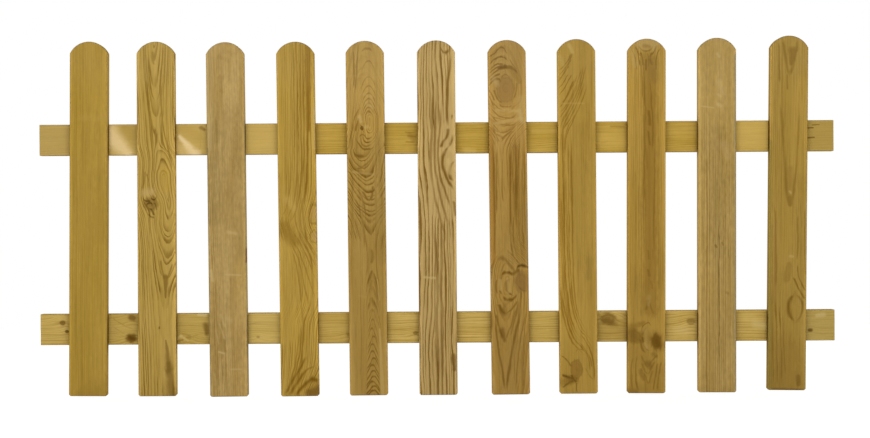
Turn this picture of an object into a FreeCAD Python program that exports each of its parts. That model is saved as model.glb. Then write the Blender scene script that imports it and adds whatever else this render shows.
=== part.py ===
import FreeCAD, Part
import os
import Sketcher

# Picket fence panel in pressure-treated softwood: a row of round-headed pickets nailed
# across two rails, whose tails run past the outer pickets to be fixed to the posts.
#
# Frame, in millimetres: +X along the rails, to the right as seen from the front;
# +Y from the pickets to the rails, so the pickets face -Y; +Z up. The origin lies on the
# back of the bottom rail, at the middle of its length and height.

# Driving dimensions, in millimetres except for the count of pickets
SIZES = [
    ("rail_length", 1800, "both rails, end to end"),
    ("rail_height", 70, "face of a rail, from edge to edge"),
    ("rail_thickness", 28, "rail, front to back"),
    ("rail_arris", 2.5, "rounding of a rail's long edges"),
    ("rail_spacing", 430, "between the rails' centre lines"),
    ("rail_overhang", 68.5, "rail tail past the edge of the outer picket"),
    ("picket_count", 11, "pickets in the panel"),
    ("picket_height", 800, "foot to top of the arched head"),
    ("picket_width", 86, "across the face of a picket"),
    ("picket_thickness", 18, "picket, front to back"),
    ("picket_arris", 3, "rounding all round the face of a picket"),
    ("back_chamfer", 1.5, "broken edges all round the back of a picket"),
    ("arch_rise", 27, "shoulder to top of the arched head"),
    ("foot_corner", 3.5, "clipped corners of a picket's foot"),
    ("foot_drop", 150, "foot below the bottom rail's centre line"),
]

# How each picket was nailed, from left to right. Set out by eye along the bottom rail, the
# pickets lean a little, sit off their marks and differ in height.
LEAN = [0.5, 0, -0.4, -0.5, -0.4, -0.1, -0.4, -0.1, 0.4, 0.3, 0.8]  # degrees, head to +X
SIDEWAYS = [0, -2, 1, 3, 1, 1, 6, 2, -2, 0, 0]  # mm along the bottom rail
LIFT = [1, 0, -2, -2, -1, -1, -1, 0, 0, 1, 5]  # mm up from the common foot line

# Sizes worked out from the sheet
PICKET_PITCH = (
    "(Sizes.rail_length - 2 * Sizes.rail_overhang - Sizes.picket_width)"
    " / (Sizes.picket_count - 1)"
)
FIRST_PICKET = "Sizes.rail_overhang + Sizes.picket_width / 2 - Sizes.rail_length / 2"
SHOULDER_HEIGHT = "Sizes.picket_height - Sizes.arch_rise"
ARCH_RADIUS = "((Sizes.picket_width / 2) ^ 2 + Sizes.arch_rise ^ 2) / (2 * Sizes.arch_rise)"

# Sketch references: the root point, the vertical axis, and a curve's ends and centre
ROOT, VERTICAL_AXIS = range(-1, -3, -1)
START, END, CENTRE = range(1, 4)


def nth_of(values, number):
    """The value for picket 1, 2, 3 and so on, starting again where the list ends."""
    return values[(number - 1) % len(values)]


def near(value, target):
    return abs(value - target) < 0.001


# The sheet

def write_sheet(doc):
    """The spreadsheet of driving dimensions, one row each: name, value and note."""
    sheet = doc.addObject("Spreadsheet::Sheet", "Sizes")
    rows = list(SIZES)
    count = [value for name, value, note in SIZES if name == "picket_count"][0]
    for number in range(1, int(count) + 1):
        rows.append((f"lean_{number:02d}", nth_of(LEAN, number), "degrees, head to +X"))
        rows.append((f"sideways_{number:02d}", nth_of(SIDEWAYS, number), "off its mark, to +X"))
        rows.append((f"lift_{number:02d}", nth_of(LIFT, number), "above the common foot line"))
    for row, (name, value, note) in enumerate(rows, start=1):
        sheet.set(f"A{row}", name)
        sheet.set(f"B{row}", str(value))
        sheet.setAlias(f"B{row}", name)
        sheet.set(f"C{row}", note)
    doc.recompute()
    return sheet


# Sketching and shaping

def front_sketch(body):
    """An empty sketch on the body's XZ plane: its x runs along X and its y up Z."""
    sketch = body.newObject("Sketcher::SketchObject", body.Name + "_outline")
    plane = [item for item in body.Origin.OriginFeatures if item.Role == "XZ_Plane"][0]
    sketch.AttachmentSupport = [(plane, "")]
    sketch.MapMode = "FlatFace"
    return sketch


def join_in_loop(sketch, curves):
    """Ties the end of each curve to the start of the next, all the way round."""
    for curve, following in zip(curves, curves[1:] + curves[:1]):
        sketch.addConstraint(Sketcher.Constraint("Coincident", curve, END, following, START))


def dimension(sketch, name, expression, kind, *references):
    """A named dimension of the sketch that follows the sheet."""
    value = float(sketch.evalExpression(expression))
    index = sketch.addConstraint(Sketcher.Constraint(kind, *references, value))
    sketch.renameConstraint(index, name)
    sketch.setExpression(f"Constraints.{name}", expression)


def pad(body, sketch, expression):
    """The sketch's outline given its thickness, from the XZ plane towards the front."""
    board = body.newObject("PartDesign::Pad", body.Name + "_board")
    board.Profile = sketch
    board.setExpression("Length", expression)
    body.Document.recompute()
    return board


def edge_names(feature, wanted):
    """Names of a feature's edges whose centre of mass passes the test."""
    names = []
    for number, edge in enumerate(feature.Shape.Edges, start=1):
        if wanted(edge.CenterOfMass):
            names.append(f"Edge{number}")
    return names


def round_edges(body, base, expression, wanted):
    """Fillets the wanted edges of the body's last feature."""
    rounding = body.newObject("PartDesign::Fillet", body.Name + "_arrises")
    rounding.Base = (base, edge_names(base, wanted))
    rounding.setExpression("Radius", expression)
    body.Document.recompute()
    return rounding


def chamfer_edges(body, base, name, expression, wanted):
    """Chamfers the wanted edges of the body's last feature."""
    easing = body.newObject("PartDesign::Chamfer", body.Name + "_" + name)
    easing.Base = (base, edge_names(base, wanted))
    easing.setExpression("Size", expression)
    body.Document.recompute()
    return easing


# Pickets

def picket_outline(body, sizes):
    """Front view of a picket: straight foot and sides, and an arc from shoulder to shoulder.

    The sketch's root is the point where the picket crosses the bottom rail's centre line.
    """
    half = sizes.picket_width / 2
    foot = -sizes.foot_drop
    head = foot + sizes.picket_height
    shoulder = head - sizes.arch_rise
    foot_left = FreeCAD.Vector(-half, foot, 0)
    foot_right = FreeCAD.Vector(half, foot, 0)
    shoulder_right = FreeCAD.Vector(half, shoulder, 0)
    shoulder_left = FreeCAD.Vector(-half, shoulder, 0)
    crown = FreeCAD.Vector(0, head, 0)

    sketch = front_sketch(body)
    base = sketch.addGeometry(Part.LineSegment(foot_left, foot_right))
    right = sketch.addGeometry(Part.LineSegment(foot_right, shoulder_right))
    arch = sketch.addGeometry(Part.Arc(shoulder_right, crown, shoulder_left))
    left = sketch.addGeometry(Part.LineSegment(shoulder_left, foot_left))
    join_in_loop(sketch, [base, right, arch, left])
    sketch.addConstraint(Sketcher.Constraint("Vertical", right))
    sketch.addConstraint(Sketcher.Constraint("Vertical", left))
    sketch.addConstraint(Sketcher.Constraint("Symmetric", base, START, base, END, VERTICAL_AXIS))
    sketch.addConstraint(Sketcher.Constraint("PointOnObject", arch, CENTRE, VERTICAL_AXIS))
    dimension(sketch, "width", "Sizes.picket_width", "DistanceX", base, START, base, END)
    dimension(sketch, "drop", "Sizes.foot_drop", "DistanceY", base, START, ROOT, START)
    dimension(sketch, "shoulder", SHOULDER_HEIGHT, "DistanceY", right, START, right, END)
    dimension(sketch, "arch", ARCH_RADIUS, "Radius", arch)
    return sketch


def make_picket(doc, sizes, number):
    """One picket, leaning about the point where it crosses the bottom rail."""
    label = f"picket_{number:02d}"
    body = doc.addObject("PartDesign::Body", label)
    board = pad(body, picket_outline(body, sizes), "Sizes.picket_thickness")

    # The foot's corners are the edges that run through the board from front to back.
    back, middle, front = 0, -sizes.picket_thickness / 2, -sizes.picket_thickness
    foot = -sizes.foot_drop
    board = chamfer_edges(
        body, board, "foot_corners", "Sizes.foot_corner",
        lambda point: near(point.y, middle) and near(point.z, foot),
    )
    # The face is rounded over all the way round. The back, which lies against the rails,
    # only has its sharp edge taken off.
    board = chamfer_edges(
        body, board, "back_rim", "Sizes.back_chamfer", lambda point: near(point.y, back)
    )
    round_edges(body, board, "Sizes.picket_arris", lambda point: near(point.y, front))

    lean_axis = FreeCAD.Vector(0, 1, 0)
    body.Placement.Rotation = FreeCAD.Rotation(lean_axis, nth_of(LEAN, number))
    mark = f"{FIRST_PICKET} + {number - 1} * {PICKET_PITCH}"
    body.setExpression("Placement.Base.x", f"{mark} + Sizes.sideways_{number:02d}")
    body.setExpression("Placement.Base.y", "-Sizes.rail_thickness")
    body.setExpression("Placement.Base.z", f"Sizes.lift_{number:02d}")
    body.setExpression("Placement.Rotation.Angle", f"Sizes.lean_{number:02d} * 1 deg")
    return body


# Rails

def make_rail(doc, sizes, label, height):
    """One rail, its back on the frame's XZ plane and its centre line at a given height."""
    body = doc.addObject("PartDesign::Body", label)
    half_length = sizes.rail_length / 2
    half_height = sizes.rail_height / 2
    corners = [
        FreeCAD.Vector(-half_length, -half_height, 0),
        FreeCAD.Vector(half_length, -half_height, 0),
        FreeCAD.Vector(half_length, half_height, 0),
        FreeCAD.Vector(-half_length, half_height, 0),
    ]
    sketch = front_sketch(body)
    sides = []
    for corner, following in zip(corners, corners[1:] + corners[:1]):
        sides.append(sketch.addGeometry(Part.LineSegment(corner, following)))
    join_in_loop(sketch, sides)
    bottom, right, top, left = sides
    for side in (bottom, top):
        sketch.addConstraint(Sketcher.Constraint("Horizontal", side))
    for side in (right, left):
        sketch.addConstraint(Sketcher.Constraint("Vertical", side))
    sketch.addConstraint(Sketcher.Constraint("Symmetric", bottom, START, right, END, ROOT, START))
    dimension(sketch, "length", "Sizes.rail_length", "DistanceX", bottom, START, bottom, END)
    dimension(sketch, "height", "Sizes.rail_height", "DistanceY", right, START, right, END)

    board = pad(body, sketch, "Sizes.rail_thickness")
    round_edges(body, board, "Sizes.rail_arris", lambda point: near(point.x, 0))
    body.setExpression("Placement.Base.z", height)
    return body


# Checking and saving

def check(doc, bodies):
    """Stops the build if any feature failed or any body isn't one sound solid."""
    for item in doc.Objects:
        if "Invalid" in item.State or "Error" in item.State:
            raise RuntimeError(f"{item.Name} did not recompute: {item.State}")
    for body in bodies:
        shape = body.Shape
        if shape.isNull() or not shape.isValid() or len(shape.Solids) != 1:
            raise RuntimeError(f"{body.Name} is not one sound solid")


def save(bodies):
    os.makedirs("parts", exist_ok=True)
    for body in bodies:
        body.Shape.exportStep(f"parts/{body.Name}.step")
        box = body.Shape.optimalBoundingBox()
        print(
            f"{body.Name}: x {box.XMin:.2f} to {box.XMax:.2f},"
            f" y {box.YMin:.2f} to {box.YMax:.2f}, z {box.ZMin:.2f} to {box.ZMax:.2f},"
            f" {body.Shape.Volume / 1000:.1f} cm3"
        )


doc = FreeCAD.newDocument("PicketPanel")
sizes = write_sheet(doc)
bodies = [
    make_rail(doc, sizes, "bottom_rail", "0"),
    make_rail(doc, sizes, "top_rail", "Sizes.rail_spacing"),
]
for number in range(1, int(sizes.picket_count) + 1):
    bodies.append(make_picket(doc, sizes, number))
doc.recompute()
check(doc, bodies)
save(bodies)
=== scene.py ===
# %% [markdown]
# A picket fence panel in pressure-treated softwood: eleven pickets with arched heads, nailed to two
# rails. The boards were cut and joined as solids beforehand and come in as a fixed frame, in metres, with
# +X along the rails, -Y out of the faces and +Z up. What is left for Blender is what makes boards look
# like boards: the growth rings, the knots, the stains of the treatment, the nails, and a plain studio to
# see them in.

# %% The frame
import math

import bmesh
import bpy
from mathutils import Matrix, Vector


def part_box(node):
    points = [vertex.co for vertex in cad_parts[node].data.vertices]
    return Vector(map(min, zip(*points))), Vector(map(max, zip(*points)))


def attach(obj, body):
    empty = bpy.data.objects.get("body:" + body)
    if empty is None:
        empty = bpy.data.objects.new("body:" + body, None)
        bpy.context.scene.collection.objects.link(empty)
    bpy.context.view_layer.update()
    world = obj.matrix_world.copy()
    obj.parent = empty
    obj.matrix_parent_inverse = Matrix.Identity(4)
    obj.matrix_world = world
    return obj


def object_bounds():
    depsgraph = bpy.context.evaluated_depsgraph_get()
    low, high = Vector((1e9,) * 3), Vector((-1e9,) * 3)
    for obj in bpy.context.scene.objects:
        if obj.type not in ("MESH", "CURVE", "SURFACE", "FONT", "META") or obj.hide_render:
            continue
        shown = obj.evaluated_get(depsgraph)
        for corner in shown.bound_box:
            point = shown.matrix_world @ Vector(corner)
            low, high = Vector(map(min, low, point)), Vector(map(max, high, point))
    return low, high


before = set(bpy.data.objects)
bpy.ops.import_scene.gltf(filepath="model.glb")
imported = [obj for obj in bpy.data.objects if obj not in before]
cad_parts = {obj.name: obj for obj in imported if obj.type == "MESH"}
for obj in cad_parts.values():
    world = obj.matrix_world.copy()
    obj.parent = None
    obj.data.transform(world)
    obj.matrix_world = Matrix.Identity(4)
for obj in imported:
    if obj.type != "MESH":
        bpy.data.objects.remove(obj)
cad_low, cad_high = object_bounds()
print("solids loaded:", len(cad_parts), "size in metres:", [round(v, 3) for v in cad_high - cad_low])

# %% [markdown]
# The picture is taken square on, from a few metres away, with the panel filling most of the frame and its
# right end a touch higher than its left. A long lens at that distance keeps the pickets almost parallel
# but still shows a sliver of each picket's inner side. The lens follows from the width that is seen at
# the picket faces, so the framing can be set by a tape measure instead of by trial.

# %% The camera
VIEW_WIDTH = 1.9615
CAMERA_DISTANCE = 3.3
CAMERA_SIDE = -0.0045
CAMERA_HEIGHT = 0.246
CAMERA_ROLL = math.radians(0.35)
SENSOR_WIDTH = 36.0

picket_face = cad_low.y
camera_data = bpy.data.cameras.new("studio_camera")
camera_data.sensor_width = SENSOR_WIDTH
camera_data.lens = SENSOR_WIDTH * CAMERA_DISTANCE / VIEW_WIDTH
camera = bpy.data.objects.new("studio_camera", camera_data)
camera.location = (CAMERA_SIDE, picket_face - CAMERA_DISTANCE, CAMERA_HEIGHT)
camera.rotation_euler = (math.radians(90), CAMERA_ROLL, 0)
bpy.context.scene.collection.objects.link(camera)
bpy.context.scene.camera = camera
bpy.context.scene.view_settings.view_transform = "Standard"
print("lens in millimetres:", round(camera_data.lens, 1))

# %% [markdown]
# Every finish below is a node tree, and most of a tree is arithmetic. A Wire stands for a value on its
# way through a tree: to add, multiply or divide wires puts in the Math nodes and links them, so the
# patterns can be read as formulas. A socket is fed with either a wire or a plain value, and put adds any
# other node, feeds it and hands back its outputs.

# %% Wires and nodes
def add_node(tree, kind, **settings):
    node = tree.nodes.new(kind)
    for name, value in settings.items():
        setattr(node, name, value)
    return node


def feed(socket, value):
    if isinstance(value, Wire):
        socket.id_data.links.new(value.socket, socket)
    else:
        socket.default_value = value


def put(tree, kind, values, **settings):
    node = add_node(tree, kind, **settings)
    for name, value in values.items():
        feed(node.inputs[name], value)
    return {socket.name: Wire(socket) for socket in node.outputs if socket.enabled}


def maths(operation, *values):
    tree = next(value.tree for value in values if isinstance(value, Wire))
    return put(tree, "ShaderNodeMath", dict(enumerate(values)), operation=operation)["Value"]


class Wire:
    def __init__(self, socket):
        self.socket = socket
        self.tree = socket.id_data

    def __add__(self, other):
        return maths("ADD", self, other)

    def __sub__(self, other):
        return maths("SUBTRACT", self, other)

    def __rsub__(self, other):
        return maths("SUBTRACT", other, self)

    def __mul__(self, other):
        return maths("MULTIPLY", self, other)

    def __truediv__(self, other):
        return maths("DIVIDE", self, other)

    def __abs__(self):
        return maths("ABSOLUTE", self)


# %% [markdown]
# The studio is white all round. The floor lies under the lowest foot, and both the floor and the world
# look plain white to the camera, by the light path, while the lamps still light the boards at an ordinary
# level. The floor keeps a share of its own lit surface, so the feet leave a soft shadow on it.

# %% Floor and world
FLOOR_SIZE = 4.0
FLOOR_GREY = 0.8
FLOOR_SHOWN = 0.25
FLOOR_GLOW = 1.22
WORLD_STRENGTH = 0.16


def seen_directly(tree):
    path = put(tree, "ShaderNodeLightPath", {})
    either = maths("MAXIMUM", path["Is Camera Ray"], path["Is Glossy Ray"])
    return maths("MAXIMUM", either, path["Is Transmission Ray"])


def new_material(name):
    material = bpy.data.materials.new(name)
    material.use_nodes = True
    return material, material.node_tree


def finish_floor():
    material, tree = new_material("white_floor")
    tree.nodes.clear()
    lit = put(tree, "ShaderNodeBsdfDiffuse", {"Color": (FLOOR_GREY, FLOOR_GREY, FLOOR_GREY, 1)})["BSDF"]
    white = put(tree, "ShaderNodeEmission", {"Strength": FLOOR_GLOW})["Emission"]
    share = seen_directly(tree) * (1 - FLOOR_SHOWN)
    shown = put(tree, "ShaderNodeMixShader", {0: share, 1: lit, 2: white})["Shader"]
    put(tree, "ShaderNodeOutputMaterial", {"Surface": shown})
    return material


floor_mesh = bpy.data.meshes.new("studio_floor")
floor_bmesh = bmesh.new()
floor_place = Matrix.Translation((0, 0, cad_low.z))
bmesh.ops.create_grid(floor_bmesh, x_segments=1, y_segments=1, size=FLOOR_SIZE / 2, matrix=floor_place)
floor_bmesh.to_mesh(floor_mesh)
floor_bmesh.free()
floor_mesh.materials.append(finish_floor())
floor = bpy.data.objects.new("studio_floor", floor_mesh)
bpy.context.scene.collection.objects.link(floor)

world = bpy.data.worlds.new("white_world")
world.use_nodes = True
sky = world.node_tree.nodes["Background"]
sky.inputs["Color"].default_value = (1, 1, 1, 1)
sky_ends = {"Value": seen_directly(world.node_tree), "To Min": WORLD_STRENGTH}
feed(sky.inputs["Strength"], put(world.node_tree, "ShaderNodeMapRange", sky_ends)["Result"])
bpy.context.scene.world = world
print("floor at height:", round(cad_low.z, 4))

# %% [markdown]
# The boards are lit from the front by one wide soft lamp above the camera, which throws a narrow soft
# shade on the rails beside each picket. Two weaker lamps stand behind, left and right. They light the
# back of the panel and the sides of the pickets, but not where a rail lies behind a side, so those
# corners stay dark.

# %% The lamps
FRONT_PLACE = (0, -2.7, 0.9)
FRONT_WIDTH = 4.0
FRONT_POWER = 70
BEHIND_PLACE = Vector((2.6, 1.6, 0.7))
BEHIND_WIDTH = 1.4
BEHIND_POWER = 50
LAMP_HEIGHT = 1.4
PANEL_MIDDLE = (cad_low + cad_high) / 2


def add_lamp(name, place, width, power):
    lamp_data = bpy.data.lights.new(name, "AREA")
    lamp_data.shape = "RECTANGLE"
    lamp_data.size = width
    lamp_data.size_y = LAMP_HEIGHT
    lamp_data.energy = power
    lamp = bpy.data.objects.new(name, lamp_data)
    lamp.location = place
    lamp.rotation_euler = (PANEL_MIDDLE - Vector(place)).to_track_quat("-Z", "Y").to_euler()
    bpy.context.scene.collection.objects.link(lamp)
    print("lamp:", name, power, "W")


add_lamp("front_lamp", FRONT_PLACE, FRONT_WIDTH, FRONT_POWER)
for side_name, side in (("left", -1), ("right", 1)):
    add_lamp(f"{side_name}_lamp", BEHIND_PLACE * Vector((side, 1, 1)), BEHIND_WIDTH, BEHIND_POWER)

# %% [markdown]
# Effects that several materials share are node groups. A group is built once, with named sockets, and
# placed in each material with its own values. new_group makes an empty one and hands back its tree, the
# wires that come in and the sockets that lead out; most sockets are plain numbers.

# %% Groups
SOCKET_KINDS = {"value": "NodeSocketFloat", "vector": "NodeSocketVector", "colour": "NodeSocketColor"}


def numbers(*names):
    return dict.fromkeys(names, "value")


def new_group(name, inputs, outputs):
    tree = bpy.data.node_groups.new(name, "ShaderNodeTree")
    for direction, sockets in (("INPUT", inputs), ("OUTPUT", outputs)):
        for socket_name, kind in sockets.items():
            tree.interface.new_socket(socket_name, in_out=direction, socket_type=SOCKET_KINDS[kind])
    given = put(tree, "NodeGroupInput", {})
    return tree, given, add_node(tree, "NodeGroupOutput").inputs


# %% [markdown]
# Wood is a solid pattern: a tree grows a cone of rings round its heart, and the saw shows a slice of
# them. Where the heart lies far to one side, the slice is straight lines; where it dips towards the face,
# the rings close into arches and loops. So each board gets its own heart, a line along the board given by
# a few points of height, distance across and depth, and the rings follow from the distance to it. All
# lengths in these patterns are millimetres on the board: across, into the board, and up from the foot.
# Nothing in wood is even, so the first group makes the noises that all boards share, drawn out along the
# fibres. Each noise has a size across the fibres, a size along them, and a number of finer layers.

# %% Noise that follows the fibres
SWINGING_NOISES = {"Wander": (55, 210, 1.0), "Tremor": (11, 50, 3.0), "Ragged": (6, 15, 3.0)}
VIGOUR = (9, 110, 3.0)
PATCH = (30, 240, 2.0)
COARSE_FIBRE = (3.4, 160, 3.0)
FINE_FIBRE = (1.6, 45, 2.0)
FINE_SHARE = 0.4


def fibre_noise(point, seed, across, along, detail):
    sizes = {0: point, 1: (1 / across, 1 / across, 1 / along), 2: seed}
    stretched = put(point.tree, "ShaderNodeVectorMath", sizes, operation="MULTIPLY_ADD")["Vector"]
    layers = {"Vector": stretched, "Scale": 1.0, "Detail": detail}
    return put(point.tree, "ShaderNodeTexNoise", layers)["Fac"]


def build_fibre_field():
    noises = numbers(*SWINGING_NOISES, "Vigour", "Fibre", "Patch")
    tree, given, made = new_group("Fibre field", {"Point": "vector", "Seed": "value"}, noises)
    point, seed = given["Point"], given["Seed"]
    for name, sizes in SWINGING_NOISES.items():
        feed(made[name], fibre_noise(point, seed, *sizes) * 2 - 1)
    feed(made["Vigour"], fibre_noise(point, seed, *VIGOUR))
    feed(made["Patch"], fibre_noise(point, seed, *PATCH))
    coarse = fibre_noise(point, seed, *COARSE_FIBRE) * (1 - FINE_SHARE)
    feed(made["Fibre"], fibre_noise(point, seed, *FINE_FIBRE) * FINE_SHARE + coarse)
    return tree


FIBRE_FIELD = build_fibre_field()
print("made the group:", FIBRE_FIELD.name)

# %% [markdown]
# A knot is the foot of a branch. The fibres part round it, which bends the rings near it, and it has a
# brown core and a dark rim of its own. Each Knot group adds one branch to what comes in: it swells the
# pattern sideways, pushes the rings into loops, and adds its core and rim to two masks. A branch that the
# saw only just missed bends the rings without a core. Two helpers serve all the groups from here on: rise
# goes smoothly from 0 to 1 between two values, and split_point takes a point apart into its three
# coordinates.

# %% Knots
CHAIN = ("Shift", "Push", "Core", "Rim")
KNOT_PLACE = ("Across", "Height", "Half Width", "Half Height")
KNOT_FORCE = ("Reach", "Swell", "Lift", "Core Depth", "Rim Depth")
KNOT_RAGGED = 0.38
BRANCH_YEARS = 11
YEAR_DEPTH = 0.07
CORE_FADE = (1.3, 0.6)
RIM_INSIDE = (0.75, 1.0)
RIM_OUTSIDE = (1.25, 1.0)


def rise(value, start, end):
    ends = {"Value": value, "From Min": start, "From Max": end}
    return put(value.tree, "ShaderNodeMapRange", ends, interpolation_type="SMOOTHSTEP")["Result"]


def split_point(point):
    return put(point.tree, "ShaderNodeSeparateXYZ", {0: point}).values()


def build_knot():
    sockets = {"Point": "vector"} | numbers("Ragged", *CHAIN, *KNOT_PLACE, *KNOT_FORCE)
    tree, given, made = new_group("Knot", sockets, numbers(*CHAIN))
    across, _, height = split_point(given["Point"])
    beside = across - given["Across"]
    wide = beside / given["Half Width"]
    tall = (height - given["Height"]) / given["Half Height"]
    squares = wide * wide + tall * tall
    rough = given["Ragged"] * KNOT_RAGGED + maths("SQRT", squares)
    years = maths("SINE", rough * BRANCH_YEARS) * YEAR_DEPTH + (1 - YEAR_DEPTH)
    core = rise(rough, *CORE_FADE) * years * given["Core Depth"]
    rim = rise(rough, *RIM_INSIDE) * rise(rough, *RIM_OUTSIDE) * given["Rim Depth"]
    near = maths("EXPONENT", squares / (given["Reach"] * given["Reach"]) * -1)
    feed(made["Shift"], given["Shift"] + beside * near * given["Swell"])
    feed(made["Push"], near * given["Lift"] + given["Push"])
    feed(made["Core"], maths("MAXIMUM", given["Core"], core))
    feed(made["Rim"], maths("MAXIMUM", given["Rim"], rim))
    return tree


KNOT = build_knot()
print("made the group:", KNOT.name)

# %% [markdown]
# The rings themselves: in a softwood each year starts pale and wide and ends in a thin dark line, with a
# sharp edge where the next spring begins. The distance to the heart is divided by the ring width; what is
# left over says how far through its year a point is, and the whole number picks how dark and how broad
# the line of that year is. A squeezed heart gives rings that are oval, so that arches come out narrow.

# %% Growth rings
HEART = ("Heart Across", "Heart Depth", "Squeeze")
RING_SIZES = ("Ring Width", "Waver", "Uneven", "Seed")
RING_NOISES = ("Wander", "Tremor", "Vigour", "Shift", "Push")
TREMBLE = 0.35
UNEVEN_PACE = 0.4
FIRST_ONSET = 0.1
ONSET_SPREAD = 0.4
LATE_FULL = 0.84
SPRING_EDGE = (1.0, 0.87)
FAINT_YEAR = 0.5
YEAR_SPREAD = 0.6
VIGOUR_FADE = (0.2, 0.62)


def build_growth_rings():
    sockets = {"Point": "vector"} | numbers(*RING_NOISES, *HEART, *RING_SIZES)
    tree, given, made = new_group("Growth rings", sockets, numbers("Latewood"))
    across, depth, _ = split_point(given["Point"])
    beside = (across - given["Shift"] - given["Heart Across"]) * given["Squeeze"]
    deep = given["Heart Depth"] - depth
    pushed = maths("SQRT", beside * beside + deep * deep) + given["Push"]
    loose = given["Wander"] * given["Waver"] + pushed
    radius = given["Tremor"] * given["Ring Width"] * TREMBLE + loose
    years = radius / given["Ring Width"]
    pace = {"W": years * UNEVEN_PACE + given["Seed"], "Scale": 1.0}
    years = put(tree, "ShaderNodeTexNoise", pace, noise_dimensions="1D")["Fac"] * given["Uneven"] + years
    passed = maths("FRACT", years)
    count = {"W": maths("FLOOR", years) + given["Seed"]}
    year = put(tree, "ShaderNodeTexWhiteNoise", count, noise_dimensions="1D")["Color"]
    chance = put(tree, "ShaderNodeSeparateColor", {0: year})
    onset = chance["Red"] * ONSET_SPREAD + FIRST_ONSET
    line = rise(passed, onset, LATE_FULL) * rise(passed, *SPRING_EDGE)
    strength = (chance["Green"] * YEAR_SPREAD + FAINT_YEAR) * rise(given["Vigour"], *VIGOUR_FADE)
    feed(made["Latewood"], line * strength)
    return tree


GROWTH_RINGS = build_growth_rings()
print("made the group:", GROWTH_RINGS.name)

# %% [markdown]
# Some grain lines are too particular for any law of growth: the swirl beside a knot, or one bold line in
# a quiet board. Those are drawn as strokes. A stroke follows a curve through a few points,
# trembles with the fibres, thins out at both ends, and fades here and there as a real growth line does.

# %% Strokes
STROKE_SIZES = ("Offset", "Share", "Tremor", "Ragged", "Vigour", "Width", "Strength")
STROKE_TREMOR = 2.6
STROKE_RAGGED = 1.2
THIN_SHARE = 0.15
VIGOUR_SHARE = 0.9
STROKE_EDGE = (1.7, 0.0)
START_TAPER = (0.0, 0.15)
END_TAPER = (1.0, 0.85)
STROKE_FADE = (0.3, 0.6)
FADED_SHARE = 0.6


def build_stroke():
    tree, given, made = new_group("Stroke", numbers(*STROKE_SIZES), numbers("Cover"))
    trembling = given["Tremor"] * STROKE_TREMOR + given["Offset"]
    shaken = given["Ragged"] * STROKE_RAGGED + trembling
    far = abs(shaken) / (given["Width"] * (given["Vigour"] * VIGOUR_SHARE + THIN_SHARE))
    ends = rise(given["Share"], *START_TAPER) * rise(given["Share"], *END_TAPER)
    live = rise(given["Vigour"], *STROKE_FADE) * (1 - FADED_SHARE) + FADED_SHARE
    feed(made["Cover"], rise(far, *STROKE_EDGE) * ends * live * given["Strength"])
    return tree


STROKE = build_stroke()
print("made the group:", STROKE.name)

# %% [markdown]
# Stains, streaks, scratches and scuffs are masked by one more group: a soft straight band from one point
# of the board to another, with a width at each end and a ragged edge. A band tints the colour, so that
# marks can be laid one over the other like brush strokes; or it quiets the rings where the wood is plain;
# or it makes a place paler or darker without hiding its lines. Marks are only skin deep, so a band fades
# out inside the board and leaves its back alone.

# %% Bands
BAND_ENDS = ("Start Across", "Start Height", "End Across", "End Height")
BAND_SIZES = ("Start Width", "End Width", "Softness", "Strength")
BAND_RAGGED = 0.6
SKIN_FADE = (13, 6)


def build_band():
    sockets = {"Point": "vector"} | numbers("Ragged", *BAND_ENDS, *BAND_SIZES)
    tree, given, made = new_group("Band", sockets, numbers("Cover"))
    across, depth, height = split_point(given["Point"])
    run_across = given["End Across"] - given["Start Across"]
    run_up = given["End Height"] - given["Start Height"]
    beside = across - given["Start Across"]
    above = height - given["Start Height"]
    along = (beside * run_across + above * run_up) / (run_across * run_across + run_up * run_up)
    part = put(tree, "ShaderNodeClamp", {"Value": along})["Result"]
    off_across = beside - run_across * part
    off_up = above - run_up * part
    distance = maths("SQRT", off_across * off_across + off_up * off_up)
    width = (given["End Width"] - given["Start Width"]) * part + given["Start Width"]
    far = given["Ragged"] * BAND_RAGGED + distance / (width * 0.5)
    cover = rise(far, given["Softness"] + 1, 1 - given["Softness"]) * given["Strength"]
    feed(made["Cover"], cover * rise(depth, *SKIN_FADE))
    return tree


BAND = build_band()
print("made the group:", BAND.name)

# %% [markdown]
# One last group turns the masks into a surface. The treatment gives the pale wood an olive cast and
# leaves the late wood brown; fibres and broad patches vary it. The group is told how far a face turns
# away from the front, and darkens the sides and ends a little towards the late wood: painted shade. It
# also lays a dark brown into the corners between pickets and rails: painted shade as well. The group
# also gives a roughness. Colours are written as they look, from 0 to 255, and srgb turns them into the
# linear light that shaders work in.

# %% From rings to a timber surface
# Dark brown for knot rims, which is the wood's own, and for the painted shade in the corners.
BARK_AND_SHADE_COLOUR = (74, 48, 6)
FINISH_COLOURS = ("Early", "Late", "Knot", "Olive")
FINISH_MASKS = ("Latewood", "Fibre", "Patch", "Core", "Rim", "Ragged", "Turned", "Painted Corner Shade")
FINISH_AMOUNTS = ("Level", "Patchiness", "Flecks")
PATCH_FADE = (0.35, 0.65)
DARK_FIBRE = (0.5, 0.25)
DARK_FIBRE_SHARE = 0.3
TURNED_SHADE_FADE = (0.35, 0.95)
TURNED_SHADE_SHARE = 0.2
FIBRE_LEVEL = 0.55
LOWEST_LEVEL = 0.745
FIBRE_ROUGHNESS = 0.25
LOWEST_ROUGHNESS = 0.55


def srgb(red, green, blue):
    shares = [value / 255 for value in (red, green, blue)]
    return [s / 12.92 if s <= 0.04045 else ((s + 0.055) / 1.055) ** 2.4 for s in shares] + [1.0]


def blend_colours(share, first, second):
    colours = {"Factor": share, "A": first, "B": second}
    return put(share.tree, "ShaderNodeMix", colours, data_type="RGBA")["Result"]


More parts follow.
